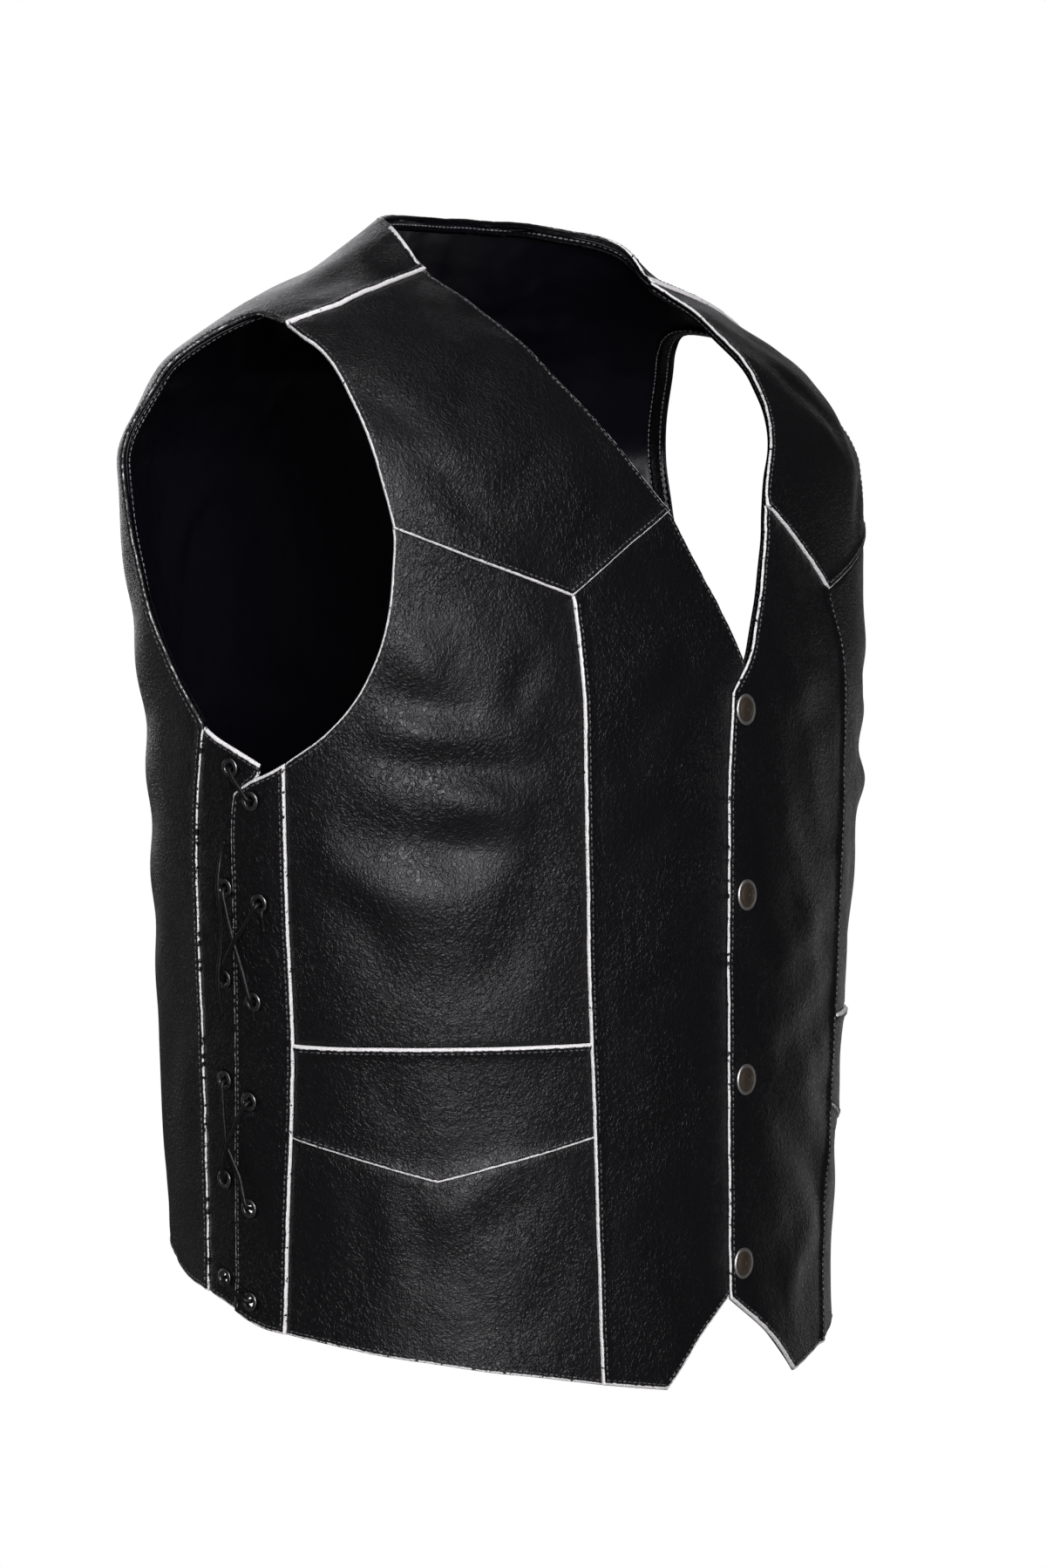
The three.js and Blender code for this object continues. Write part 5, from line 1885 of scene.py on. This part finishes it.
@dataclass(frozen=True)
class Laces:
    """The side laces, their free ends, and the short stubs."""

    radius: float = 1.3
    tail_radius: float = 1.2
    flatness: float = 0.8
    sides: int = 12
    step: float = 1.1
    softness: float = 1.5
    soft_steps: int = 4
    bend: float = 1.1
    ends: Pair = (7.0, 14.0)
    strand: tuple[Station, ...] = ((0.25, 0.5, 0.0), (0.5, 1.0, 1.0), (0.75, 0.5, 0.5))
    link: Pair = (0.2, 0.8)
    turning: float = 0.25
    turning_from: float = 0.4
    stops: tuple[Stop, ...] = (
        Stop(Panel.FRONT, 0, False), Stop(Panel.BACK, 0, True, 5.6),
        Stop(Panel.BACK, 1, False), Stop(Panel.FRONT, 2, True, 5.2),
        Stop(Panel.FRONT, 3, False), Stop(Panel.BACK, 4, True, 8.3),
        Stop(Panel.BACK, 5, False), Stop(Panel.FRONT, 5, True, 5.6),
        Stop(Panel.FRONT, 4, False), Stop(Panel.BACK, 3, True, 5.2, 1.6),
        Stop(Panel.BACK, 2, False), Stop(Panel.FRONT, 1, True, 8.3),
    )
    tail: tuple[Station, ...] = (
        (90.9, -307, 3.1), (91.5, -311, 3.3), (91.8, -317, 4.2), (91.9, -323, 6),
        (92, -329, 7.2), (92.1, -337, 7.2), (92.3, -344, 6), (92.6, -352, 5), (93, -360, 5),
        (93.4, -368, 5.8), (93.7, -375, 7), (94, -382, 7.2), (94.2, -389, 6.6),
        (94.3, -395, 5.4), (94.4, -400, 4.6),
    )
    tail_length: float = 0.095
    stub_row: int = 1
    stub: tuple[Station, ...] = (
        (-0.5, -1.7, 0.4), (-0.6, -2.3, 3.0), (-0.7, -3.6, 5.9), (-0.7, -5.6, 6.6),
        (-0.7, -8, 5.6), (-0.6, -11, 4.9), (-0.5, -15, 4.8),
    )

    def _beside(self, here: Pair, other: Pair) -> Pair:
        """The place where a strand from one pair to another turns into the first."""
        ends = FORM.on(np.array([here, other]), L)
        return between(here, other, self.bend / float(np.linalg.norm(ends[1] - ends[0])))

    def _route(self) -> list[Station]:
        """The whole lacing, in through one eyelet and out of the next.

        Returns:
            Its stations: angle, height and distance from the form.
        """
        places = [stop.column.eyelets[stop.row] for stop in self.stops]
        first, last = places[0], places[-1]
        inside = Panel.FRONT.levels[2]
        below_first = (first[0], first[1] - self.ends[1])
        below_last = (last[0], last[1] - self.ends[1])
        route = [(first[0], first[1] - d, inside) for d in reversed(self.ends)]
        chain = [below_first, *places, below_last]
        for k, stop in enumerate(self.stops):
            before, here, after = chain[k : k + 3]
            outside, through, within = stop.column.levels
            toward_out, toward_in = (before, after) if stop.inwards else (after, before)
            outer = (*self._beside(here, toward_out), outside)
            inner = (*self._beside(here, toward_in), within)
            if stop.inwards:
                start = self.stops[k - 1].column.levels[0]
                for share, weight, bowed in self.strand:
                    angle, height = between(before, here, share)
                    straight = start + (outside - start) * share
                    lift = straight + (stop.over - straight) * weight
                    route.append((angle + stop.bow * bowed, height, lift))
            elif k:
                route += [(*between(before, here, share), within) for share in self.link]
            crossing = [outer, (*here, through), inner]
            route += crossing if stop.inwards else crossing[::-1]
        return route + [(last[0], last[1] - d, inside) for d in self.ends]

    def _path(self, route: Sequence[Station], side: Side) -> Array:
        """A soft path through stations: even steps, then a bell-shaped moving mean.

        Args:
            route: The stations.
            side: The body's side.

        Returns:
            The path's points.
        """
        stations = np.array(route, float)
        at, out = FORM.settle(FORM.on(stations[:, :2], side))
        line = at + out * stations[:, 2:]
        total = lengths_along(line)[-1]
        line = resample(line, np.linspace(0, total, int(total / self.step)))
        reach = self.soft_steps
        bell = np.exp(-((np.arange(-reach, reach + 1) * self.step / self.softness) ** 2) / 2)
        bell /= bell.sum()
        before = 2 * line[:1] - line[reach:0:-1]
        after = 2 * line[-1:] - line[-2 : -reach - 2 : -1]
        padded = np.vstack([before, line, after])
        return smoothed(padded, bell)

    def _tube(self, path: Array, radius: float) -> tuple[Array, Array]:
        """A slightly flat tube round a path, with closed ends.

        The section is carried along without twist: each frame is the last one with its part
        along the new direction taken out. It is widest along the vest and thinner out of it.

        Args:
            path: The path's points.
            radius: Half the tube's width.

        Returns:
            Its points and faces.
        """
        way = np.gradient(path, axis=0)
        way = unit(way)
        _, out = FORM.settle(path)
        up = out[0]
        frames = []
        for k in range(len(path)):
            wanted = out[k] - way[k] * (out[k] @ way[k])
            size = np.linalg.norm(wanted)
            up = up + wanted * self.turning if size > self.turning_from else up
            up = up - way[k] * (up @ way[k])
            up = up / np.linalg.norm(up)
            frames.append(up)
        up = np.array(frames)
        side = np.cross(way, up)
        turn = 2 * np.pi * np.arange(self.sides) / self.sides
        ring = side[:, None] * np.cos(turn)[:, None] * radius
        ring = ring + up[:, None] * np.sin(turn)[:, None] * radius * self.flatness
        points = (path[:, None] + ring).reshape(-1, 3)
        number, quads = ring_faces(len(path), self.sides)
        caps = []
        for end in (number[0][::-1], number[-1]):
            for k in range(self.sides // 2 - 1):
                caps.append((end[k], end[k + 1], end[-2 - k], end[-1 - k]))
        return points, np.vstack([quads, np.array(caps)])

    def build(self, leather: Material) -> None:
        """Makes the laces of both sides.

        Args:
            leather: Their finish.
        """
        for side in Side:
            points, faces = self._tube(self._path(self._route(), side), self.radius)
            angle, height = EYELETS_FRONT[self.stub_row]
            stations = [(angle + a, height + h, level) for a, h, level in self.stub]
            stub, more = self._tube(self._path(stations, side), self.tail_radius)
            faces = np.vstack([faces, more + len(points)])
            points = np.vstack([points, stub])
            lace = make_object("lace_" + side.label + "_thong", points, faces, leather)
            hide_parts("lace_" + side.label)
            path = self._path(self.tail, side)
            points, faces = self._tube(path, self.tail_radius)
            tail = make_object("lace_tail_" + side.label + "_thong", points, faces, leather)
            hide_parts("lace_tail_" + side.label)


Socket = object


class Graph:
    """Short ways to add nodes to a shader tree."""

    def __init__(self, tree: bpy.types.NodeTree) -> None:
        """Args: tree is the tree that the nodes go into."""
        self.tree = tree

    def node(self, kind: str, inputs: Optional[dict] = None, **settings) -> bpy.types.Node:
        """Adds a node.

        Args:
            kind: The node's type.
            inputs: Values or sockets for its inputs, by name or number.
            **settings: The node's own properties.

        Returns:
            The node.
        """
        made = self.tree.nodes.new(kind)
        for key, value in settings.items():
            setattr(made, key, value)
        for key, value in (inputs or {}).items():
            if isinstance(value, bpy.types.NodeSocket):
                self.tree.links.new(value, made.inputs[key])
            else:
                made.inputs[key].default_value = value
        return made

    def join(self, node: bpy.types.Node, sockets: dict[str, Socket]) -> None:
        """Joins sockets to a node's inputs, by name."""
        for key, value in sockets.items():
            self.tree.links.new(value, node.inputs[key])

    def math(self, operation: str, a: Socket, b: Socket = 0.0, clamp: bool = False) -> Socket:
        """One operation on two numbers."""
        made = self.node("ShaderNodeMath", {0: a, 1: b}, operation=operation, use_clamp=clamp)
        return made.outputs[0]

    def vector(self, operation: str, a: Socket, b: Socket) -> Socket:
        """One operation on two vectors."""
        made = self.node("ShaderNodeVectorMath", {0: a, 1: b}, operation=operation)
        return made.outputs[0]

    def scaled(self, vector: Socket, factor: Socket) -> Socket:
        """A vector times a number."""
        made = self.node("ShaderNodeVectorMath", {0: vector, "Scale": factor}, operation="SCALE")
        return made.outputs[0]

    def for_camera(self, seen: Socket, otherwise: Socket) -> Socket:
        """A shader for what the camera sees straight on, and another for all other rays."""
        straight = self.node("ShaderNodeLightPath").outputs["Is Camera Ray"]
        return self.node("ShaderNodeMixShader", {0: straight, 1: otherwise, 2: seen}).outputs[0]

    def spread(self, value: Socket, low: float, high: float, to_low: float = 0.0,
               to_high: float = 1.0, smooth: bool = True) -> Socket:
        """A number carried from one range into another, and held at its ends."""
        made = self.node(
            "ShaderNodeMapRange",
            {"Value": value, "From Min": low, "From Max": high, "To Min": to_low,
             "To Max": to_high},
            interpolation_type="SMOOTHSTEP" if smooth else "LINEAR",
        )
        return made.outputs["Result"]

    def noise(self, vector: Socket, scale: float, detail: float = 2.0,
              roughness: float = 0.5) -> bpy.types.Node:
        """A noise texture in space."""
        return self.node(
            "ShaderNodeTexNoise",
            {"Vector": vector, "Scale": scale, "Detail": detail, "Roughness": roughness},
        )

    def mix(self, factor: Socket, a: Socket, b: Socket) -> Socket:
        """A blend of two colours."""
        made = self.node("ShaderNodeMix", data_type="RGBA")
        for key, value in ((0, factor), (6, a), (7, b)):
            if isinstance(value, bpy.types.NodeSocket):
                self.tree.links.new(value, made.inputs[key])
            else:
                made.inputs[key].default_value = value
        return made.outputs[2]


def new_group(
    name: str, outputs: Sequence[str]
) -> tuple[bpy.types.NodeTree, Graph, bpy.types.Node]:
    """An empty node group.

    Args:
        name: The group's name.
        outputs: Its outputs, all numbers.

    Returns:
        The group, its graph and its output node.
    """
    tree = bpy.data.node_groups.new(name, "ShaderNodeTree")
    for key in outputs:
        tree.interface.new_socket(name=key, in_out="OUTPUT", socket_type="NodeSocketFloat")
    return tree, Graph(tree), tree.nodes.new("NodeGroupOutput")


def new_material(name: str) -> tuple[Material, Graph, bpy.types.Node]:
    """A new material, its graph and its main shader."""
    made = bpy.data.materials.new(name)
    made.use_nodes = True
    return made, Graph(made.node_tree), made.node_tree.nodes["Principled BSDF"]


@dataclass(frozen=True)
class Grain:
    """Grain of soft leather. Scales are cells or waves for each metre."""

    bend_scale: float = 190
    bend: float = 0.0034
    pebble_scale: float = 560
    pebble_edge: float = 0.28
    pebble: float = 0.25
    wrinkles: tuple[tuple[float, ...], ...] = ((300, 1.2, 0.5, 0.11), (150, 2.5, 0.6, 0.05))
    wrinkle: float = 1.1
    cloud_scale: float = 19
    cloud: Pair = (0.36, 0.66)
    quiet: float = 0.4
    pore_scale: float = 1900
    pore: float = 0.1
    broad_scale: float = 70
    broad: float = 2.2

    def group(self) -> bpy.types.NodeTree:
        """The node group of small uneven pebbles, winding wrinkles between them, and pores.

        The pebbles are the distances from the borders of warped cells, rounded off; the wrinkles
        are narrow valleys where a noise crosses its middle. The wrinkles change in strength over
        the hide.

        Returns:
            The group, which puts out a height and where its crests are.
        """
        tree, g, out = new_group("drawn_grain", ("Height", "Crest"))
        place = g.node("ShaderNodeTexCoord").outputs["Object"]
        bend = g.noise(place, self.bend_scale, 3).outputs["Color"]
        bend = g.vector("SUBTRACT", bend, (0.5, 0.5, 0.5))
        warped = g.vector("ADD", place, g.scaled(bend, self.bend))
        cells = g.node("ShaderNodeTexVoronoi", {"Vector": warped, "Scale": self.pebble_scale},
                       feature="DISTANCE_TO_EDGE").outputs["Distance"]
        pebble = g.spread(cells, 0.0, self.pebble_edge)
        valleys = []
        for at, (scale, detail, roughness, width) in zip((warped, place), self.wrinkles):
            field = g.noise(at, scale, detail, roughness).outputs["Fac"]
            field = g.math("ABSOLUTE", g.math("SUBTRACT", field, 0.5))
            valleys.append(g.spread(field, 0.0, width))
        valley = g.math("MULTIPLY", *valleys)
        cloud = g.spread(g.noise(place, self.cloud_scale, 2).outputs["Fac"], *self.cloud)
        deep = g.math("ADD", g.math("MULTIPLY", cloud, 1 - self.quiet), self.quiet)
        pores = g.noise(place, self.pore_scale, 2).outputs["Fac"]
        broad = g.noise(place, self.broad_scale, 3, 0.6).outputs["Fac"]
        height = g.math("MULTIPLY", pebble, self.pebble)
        for part, size in ((g.math("MULTIPLY", valley, deep), self.wrinkle), (pores, self.pore),
                           (broad, self.broad)):
            height = g.math("ADD", height, g.math("MULTIPLY", part, size))
        g.join(out, {"Height": height, "Crest": g.math("MULTIPLY", pebble, valley)})
        return tree


@dataclass(frozen=True)
class RubbedEdge:
    """Pale line rubbed along worn edges, and a lighter band beside it that is partly rubbed wear
    and partly painted highlight. Scales are waves for each metre.
    """

    waver_scale: float = 380
    waver: float = 0.32
    line: Pair = (0.62, 0.76)
    break_scale: float = 290
    break_least: float = 0.21
    break_more: float = 0.33
    sharpness: float = 14.0
    # the lighter band by the edges: partly rubbed wear, partly painted highlight
    halo: Pair = (0.2, 0.9)

    def group(self) -> bpy.types.NodeTree:
        """The node group of the line, which reads how near and how broken it is from the mesh.

        Returns:
            The group, which puts out the line's mask and that of the lighter band beside it, partly
            rubbed wear and partly painted highlight.
        """
        tree, g, out = new_group("rubbed_edge", ("Mask", "Halo"))
        place = g.node("ShaderNodeTexCoord").outputs["Object"]
        close = g.node("ShaderNodeAttribute", attribute_name="rubbed").outputs["Fac"]
        worn = g.node("ShaderNodeAttribute", attribute_name="worn").outputs["Fac"]
        waver = g.math("SUBTRACT", g.noise(place, self.waver_scale, 3).outputs["Fac"], 0.5)
        line = g.spread(g.math("ADD", close, g.math("MULTIPLY", waver, self.waver)), *self.line)
        breaks = g.noise(place, self.break_scale, 2, 0.6).outputs["Fac"]
        limit = g.math("ADD", g.math("MULTIPLY", worn, self.break_more), self.break_least)
        gaps = g.math("SUBTRACT", breaks, limit)
        gaps = g.math("MULTIPLY", gaps, self.sharpness, clamp=True)
        g.join(out, {"Mask": g.math("MULTIPLY", line, gaps), "Halo": g.spread(close, *self.halo)})
        return tree


@dataclass(frozen=True)
class LeatherFinish:
    """Looks of a leather."""

    name: str = "black_leather"
    base: Colour = (0.0022, 0.0022, 0.0028)
    # painted highlight: the grain's crests get a lighter colour
    crest: Colour = (0.0052, 0.0052, 0.0066)
    rubbed: Colour = (0.93, 0.91, 0.9)
    # colour of the band by the edges: partly rubbed wear, partly painted highlight where stretched
    # leather catches light
    dull: Colour = (0.05, 0.05, 0.052)
    dull_share: float = 0.08
    roughness: Pair = (0.48, 0.34)
    rubbed_rough: float = 0.2
    relief: float = 0.00028
    strength: float = 0.9
    specular: float = 0.42

    def material(self) -> Material:
        """Builds the material: the grain's colours, with painted highlight on the crests and the
        rubbed line laid over them.
        """
        made, g, shader = new_material(self.name)
        grain = g.node("ShaderNodeGroup", node_tree=bpy.data.node_groups["drawn_grain"]).outputs
        rub = g.node("ShaderNodeGroup", node_tree=bpy.data.node_groups["rubbed_edge"]).outputs
        # painted highlight on the grain's crests
        colour = g.mix(grain["Crest"], (*self.base, 1), (*self.crest, 1))
        # lighter band by the edges: partly rubbed wear, partly painted highlight
        colour = g.mix(g.math("MULTIPLY", rub["Halo"], self.dull_share), colour, (*self.dull, 1))
        colour = g.mix(rub["Mask"], colour, (*self.rubbed, 1))
        rough = g.spread(grain["Crest"], 0, 1, *self.roughness)
        rough = g.math("ADD", rough, g.math("MULTIPLY", rub["Mask"], self.rubbed_rough))
        bump = g.node("ShaderNodeBump", {"Strength": self.strength, "Distance": self.relief,
                                         "Height": grain["Height"]})
        g.join(shader, {"Base Color": colour, "Roughness": rough,
                        "Normal": bump.outputs["Normal"]})
        shader.inputs["Specular IOR Level"].default_value = self.specular
        return made


@dataclass(frozen=True)
class SatinFinish:
    """Looks of the lining."""

    name: str = "black_satin"
    base: Colour = (0.0034, 0.0031, 0.0058)
    roughness: float = 0.34
    specular: float = 0.3
    soft: tuple[float, ...] = (40, 1.5, 0.5, 0.004)
    weave: tuple[float, ...] = (2600, 1, 0.25, 0.0001)

    def material(self) -> Material:
        """Builds the material: the weave's relief over that of the soft creases."""
        made, g, shader = new_material(self.name)
        place = g.node("ShaderNodeTexCoord").outputs["Object"]
        below: dict[str, Socket] = {}
        for scale, detail, strength, depth in (self.soft, self.weave):
            height = g.noise(place, scale, detail).outputs["Fac"]
            bump = g.node("ShaderNodeBump", {"Strength": strength, "Distance": depth,
                                             "Height": height, **below})
            below = {"Normal": bump.outputs["Normal"]}
        g.join(shader, below)
        shader.inputs["Base Color"].default_value = (*self.base, 1)
        shader.inputs["Specular IOR Level"].default_value = self.specular
        shader.inputs["Roughness"].default_value = self.roughness
        return made


@dataclass(frozen=True)
class PlainFinish:
    """Looks of the metals and the thread."""

    name: str
    dark: Colour
    light: Colour
    metallic: float
    roughness: Pair
    patch: float
    edges: Pair = (0.35, 0.65)

    def material(self) -> Material:
        """Builds the material: soft patches between its two colours; on the thread the pale patches
        are painted glints.
        """
        made, g, shader = new_material(self.name)
        place = g.node("ShaderNodeTexCoord").outputs["Object"]
        patch = g.spread(g.noise(place, self.patch, 3).outputs["Fac"], *self.edges)
        colour = g.mix(patch, (*self.dark, 1), (*self.light, 1))
        rough = g.spread(patch, 0, 1, self.roughness[1], self.roughness[0])
        g.join(shader, {"Base Color": colour, "Roughness": rough})
        shader.inputs["Metallic"].default_value = self.metallic
        return made


# the lace's second colour is painted highlight on its grain's crests
LACE = LeatherFinish("lace_leather", (0.0025, 0.0025, 0.003), (0.006, 0.006, 0.007),
                     roughness=(0.46, 0.38), relief=0.0001)
# painted shade: a copy of the leather with less reflection, so the facings inside look darker
SHADE_DIMMED_FACING = LeatherFinish("facing_leather", specular=0.12)
BRASS = PlainFinish("aged_brass", (0.24, 0.18, 0.13), (0.4, 0.32, 0.25), 1, (0.42, 0.52), 220)
NICKEL = PlainFinish("rubbed_nickel", (0.66, 0.64, 0.61), (0.9, 0.88, 0.86), 1, (0.38, 0.48), 500)
GUN_METAL = PlainFinish("gun_metal", (0.1, 0.1, 0.104), (0.3, 0.3, 0.3), 1, (0.32, 0.44), 600)
# painted glints: the thread's pale patches stand in for glints on the stitches
THREAD = PlainFinish(
    "black_thread", (0.01, 0.01, 0.012), (0.13, 0.13, 0.135), 0, (0.3, 0.42), 700
)
PALE_THREAD = PlainFinish(
    "worn_thread", (0.09, 0.09, 0.095), (0.26, 0.26, 0.27), 0, (0.5, 0.6), 400
)


@dataclass(frozen=True)
class Lamp:
    """A soft rectangular light round the vest. Lengths are metres."""

    name: str
    azimuth: float
    height: float
    distance: float
    size: Pair
    power: float
    colour: Colour = (1, 1, 1)


@dataclass(frozen=True)
class Studio:
    """Camera, lights, surroundings and floor."""

    eye: Station = (-2546.7, -1974.8, -132.1)
    aim: Station = (6.61, -8.58, -285.9)
    lens: float = 133.0
    sensor: float = 36.0
    clip: Pair = (0.1, 50.0)
    lamps: tuple[Lamp, ...] = (
        Lamp("key", -44, 0.3, 2.3, (1.0, 1.5), 54, (0.98, 0.965, 1.0)),
        Lamp("top", -60, 2.2, 0.9, (1.8, 1.8), 12, (0.99, 0.98, 1.0)),
        Lamp("rim_left", 118, -0.2, 2.2, (0.9, 1.4), 3),
        Lamp("low_left", 92, -0.75, 2.0, (0.6, 1.0), 1.6),
        Lamp("rim_right", -165, -0.3, 2.2, (0.9, 1.2), 2),
        Lamp("back", 142, 0.5, 2.4, (2.2, 1.8), 32, (0.98, 0.97, 1.0)),
    )
    target: Station = (0, 0, -0.3)
    around: Colour = (0.95, 0.97, 1)
    around_strength: float = 0.03
    floor_level: float = -1.05
    floor_half: float = 6.0
    floor_grey: float = 0.12
    floor_rough: float = 0.8

    def camera(self) -> None:
        """Makes the camera: a long lens, upright, aimed at the middle of the vest."""
        data = bpy.data.cameras.new("camera")
        made = put("camera", data)
        eye, aim = Vector(self.eye) * MM, Vector(self.aim) * MM
        made.location = eye
        made.rotation_euler = (aim - eye).to_track_quat("-Z", "Y").to_euler()
        data.sensor_fit = "VERTICAL"
        data.sensor_height = self.sensor
        data.lens = self.lens
        data.clip_start, data.clip_end = self.clip
        bpy.context.scene.camera = made

    def lights(self) -> None:
        """Makes the lights, each turned to the vest's middle."""
        for lamp in self.lamps:
            data = bpy.data.lights.new(lamp.name, "AREA")
            data.shape = "RECTANGLE"
            data.size, data.size_y = lamp.size
            data.energy = lamp.power
            data.color = lamp.colour
            made = put(lamp.name, data)
            a = math.radians(lamp.azimuth)
            made.location = (
                lamp.distance * math.sin(a), -lamp.distance * math.cos(a), lamp.height,
            )
            way = Vector(self.target) - made.location
            made.rotation_euler = way.to_track_quat("-Z", "Y").to_euler()

    def surroundings(self) -> None:
        """Makes the surroundings: white to the camera and dim to the vest."""
        world = bpy.data.worlds.new("white")
        world.use_nodes = True
        bpy.context.scene.world = world
        world.node_tree.nodes.clear()
        g = Graph(world.node_tree)
        seen = g.node("ShaderNodeBackground", {"Color": WHITE, "Strength": 1.0})
        dim = g.node("ShaderNodeBackground", {"Color": (*self.around, 1),
                                              "Strength": self.around_strength})
        both = g.for_camera(seen.outputs[0], dim.outputs[0])
        g.join(g.node("ShaderNodeOutputWorld"), {"Surface": both})
        bpy.context.scene.view_settings.view_transform = "Standard"

    def floor(self) -> None:
        """Makes the pale floor, well under the vest."""
        half, level = self.floor_half, self.floor_level
        mesh = bpy.data.meshes.new("floor")
        corners = [(x * half, y * half, level) for x, y in ((-1, -1), (1, -1), (1, 1), (-1, 1))]
        mesh.from_pydata(corners, [], [(0, 1, 2, 3)])
        material, g, shader = new_material("floor")
        shader.inputs["Base Color"].default_value = (*[self.floor_grey] * 3, 1)
        shader.inputs["Roughness"].default_value = self.floor_rough
        white = g.node("ShaderNodeEmission", {"Color": WHITE, "Strength": 1.0})
        both = g.for_camera(white.outputs[0], shader.outputs[0])
        g.join(material.node_tree.nodes["Material Output"], {"Surface": both})
        mesh.materials.append(material)
        put("floor", mesh)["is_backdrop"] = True


def main() -> None:
    """Builds the vest and its surroundings."""
    logging.basicConfig(level=logging.INFO, format="%(message)s")
    studio = Studio()
    studio.camera()
    Grain().group()
    RubbedEdge().group()
    leather, thread = LeatherFinish().material(), THREAD.material()
    gun_metal = GUN_METAL.material()
    Laces().build(LACE.material())
    outer = Outer()
    for panel in outer.panels:
        panel.build(leather, thread)
    # the facings get the copy of the leather dimmed for painted shade
    satin, facing = SatinFinish().material(), SHADE_DIMMED_FACING.material()
    Inside(outer, satin, facing, PALE_THREAD.material()).build()
    hardware = Hardware()
    hardware.eyelets(gun_metal)
    hardware.caps(BRASS.material(), NICKEL.material())
    for k in range(len(SNAP_HEIGHTS)):
        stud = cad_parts[f"snap_stud_{k + 1}"]
        stud.data.materials.clear()
        stud.data.materials.append(gun_metal)
    studio.lights()
    studio.surroundings()
    studio.floor()
    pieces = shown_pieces()
    corners = sum(len(piece.data.loops) for piece in pieces)
    faces = sum(len(piece.data.polygons) for piece in pieces)
    log.info("pieces %d, triangles %d", len(pieces), corners - 2 * faces)


if __name__ == "__main__":
    main()
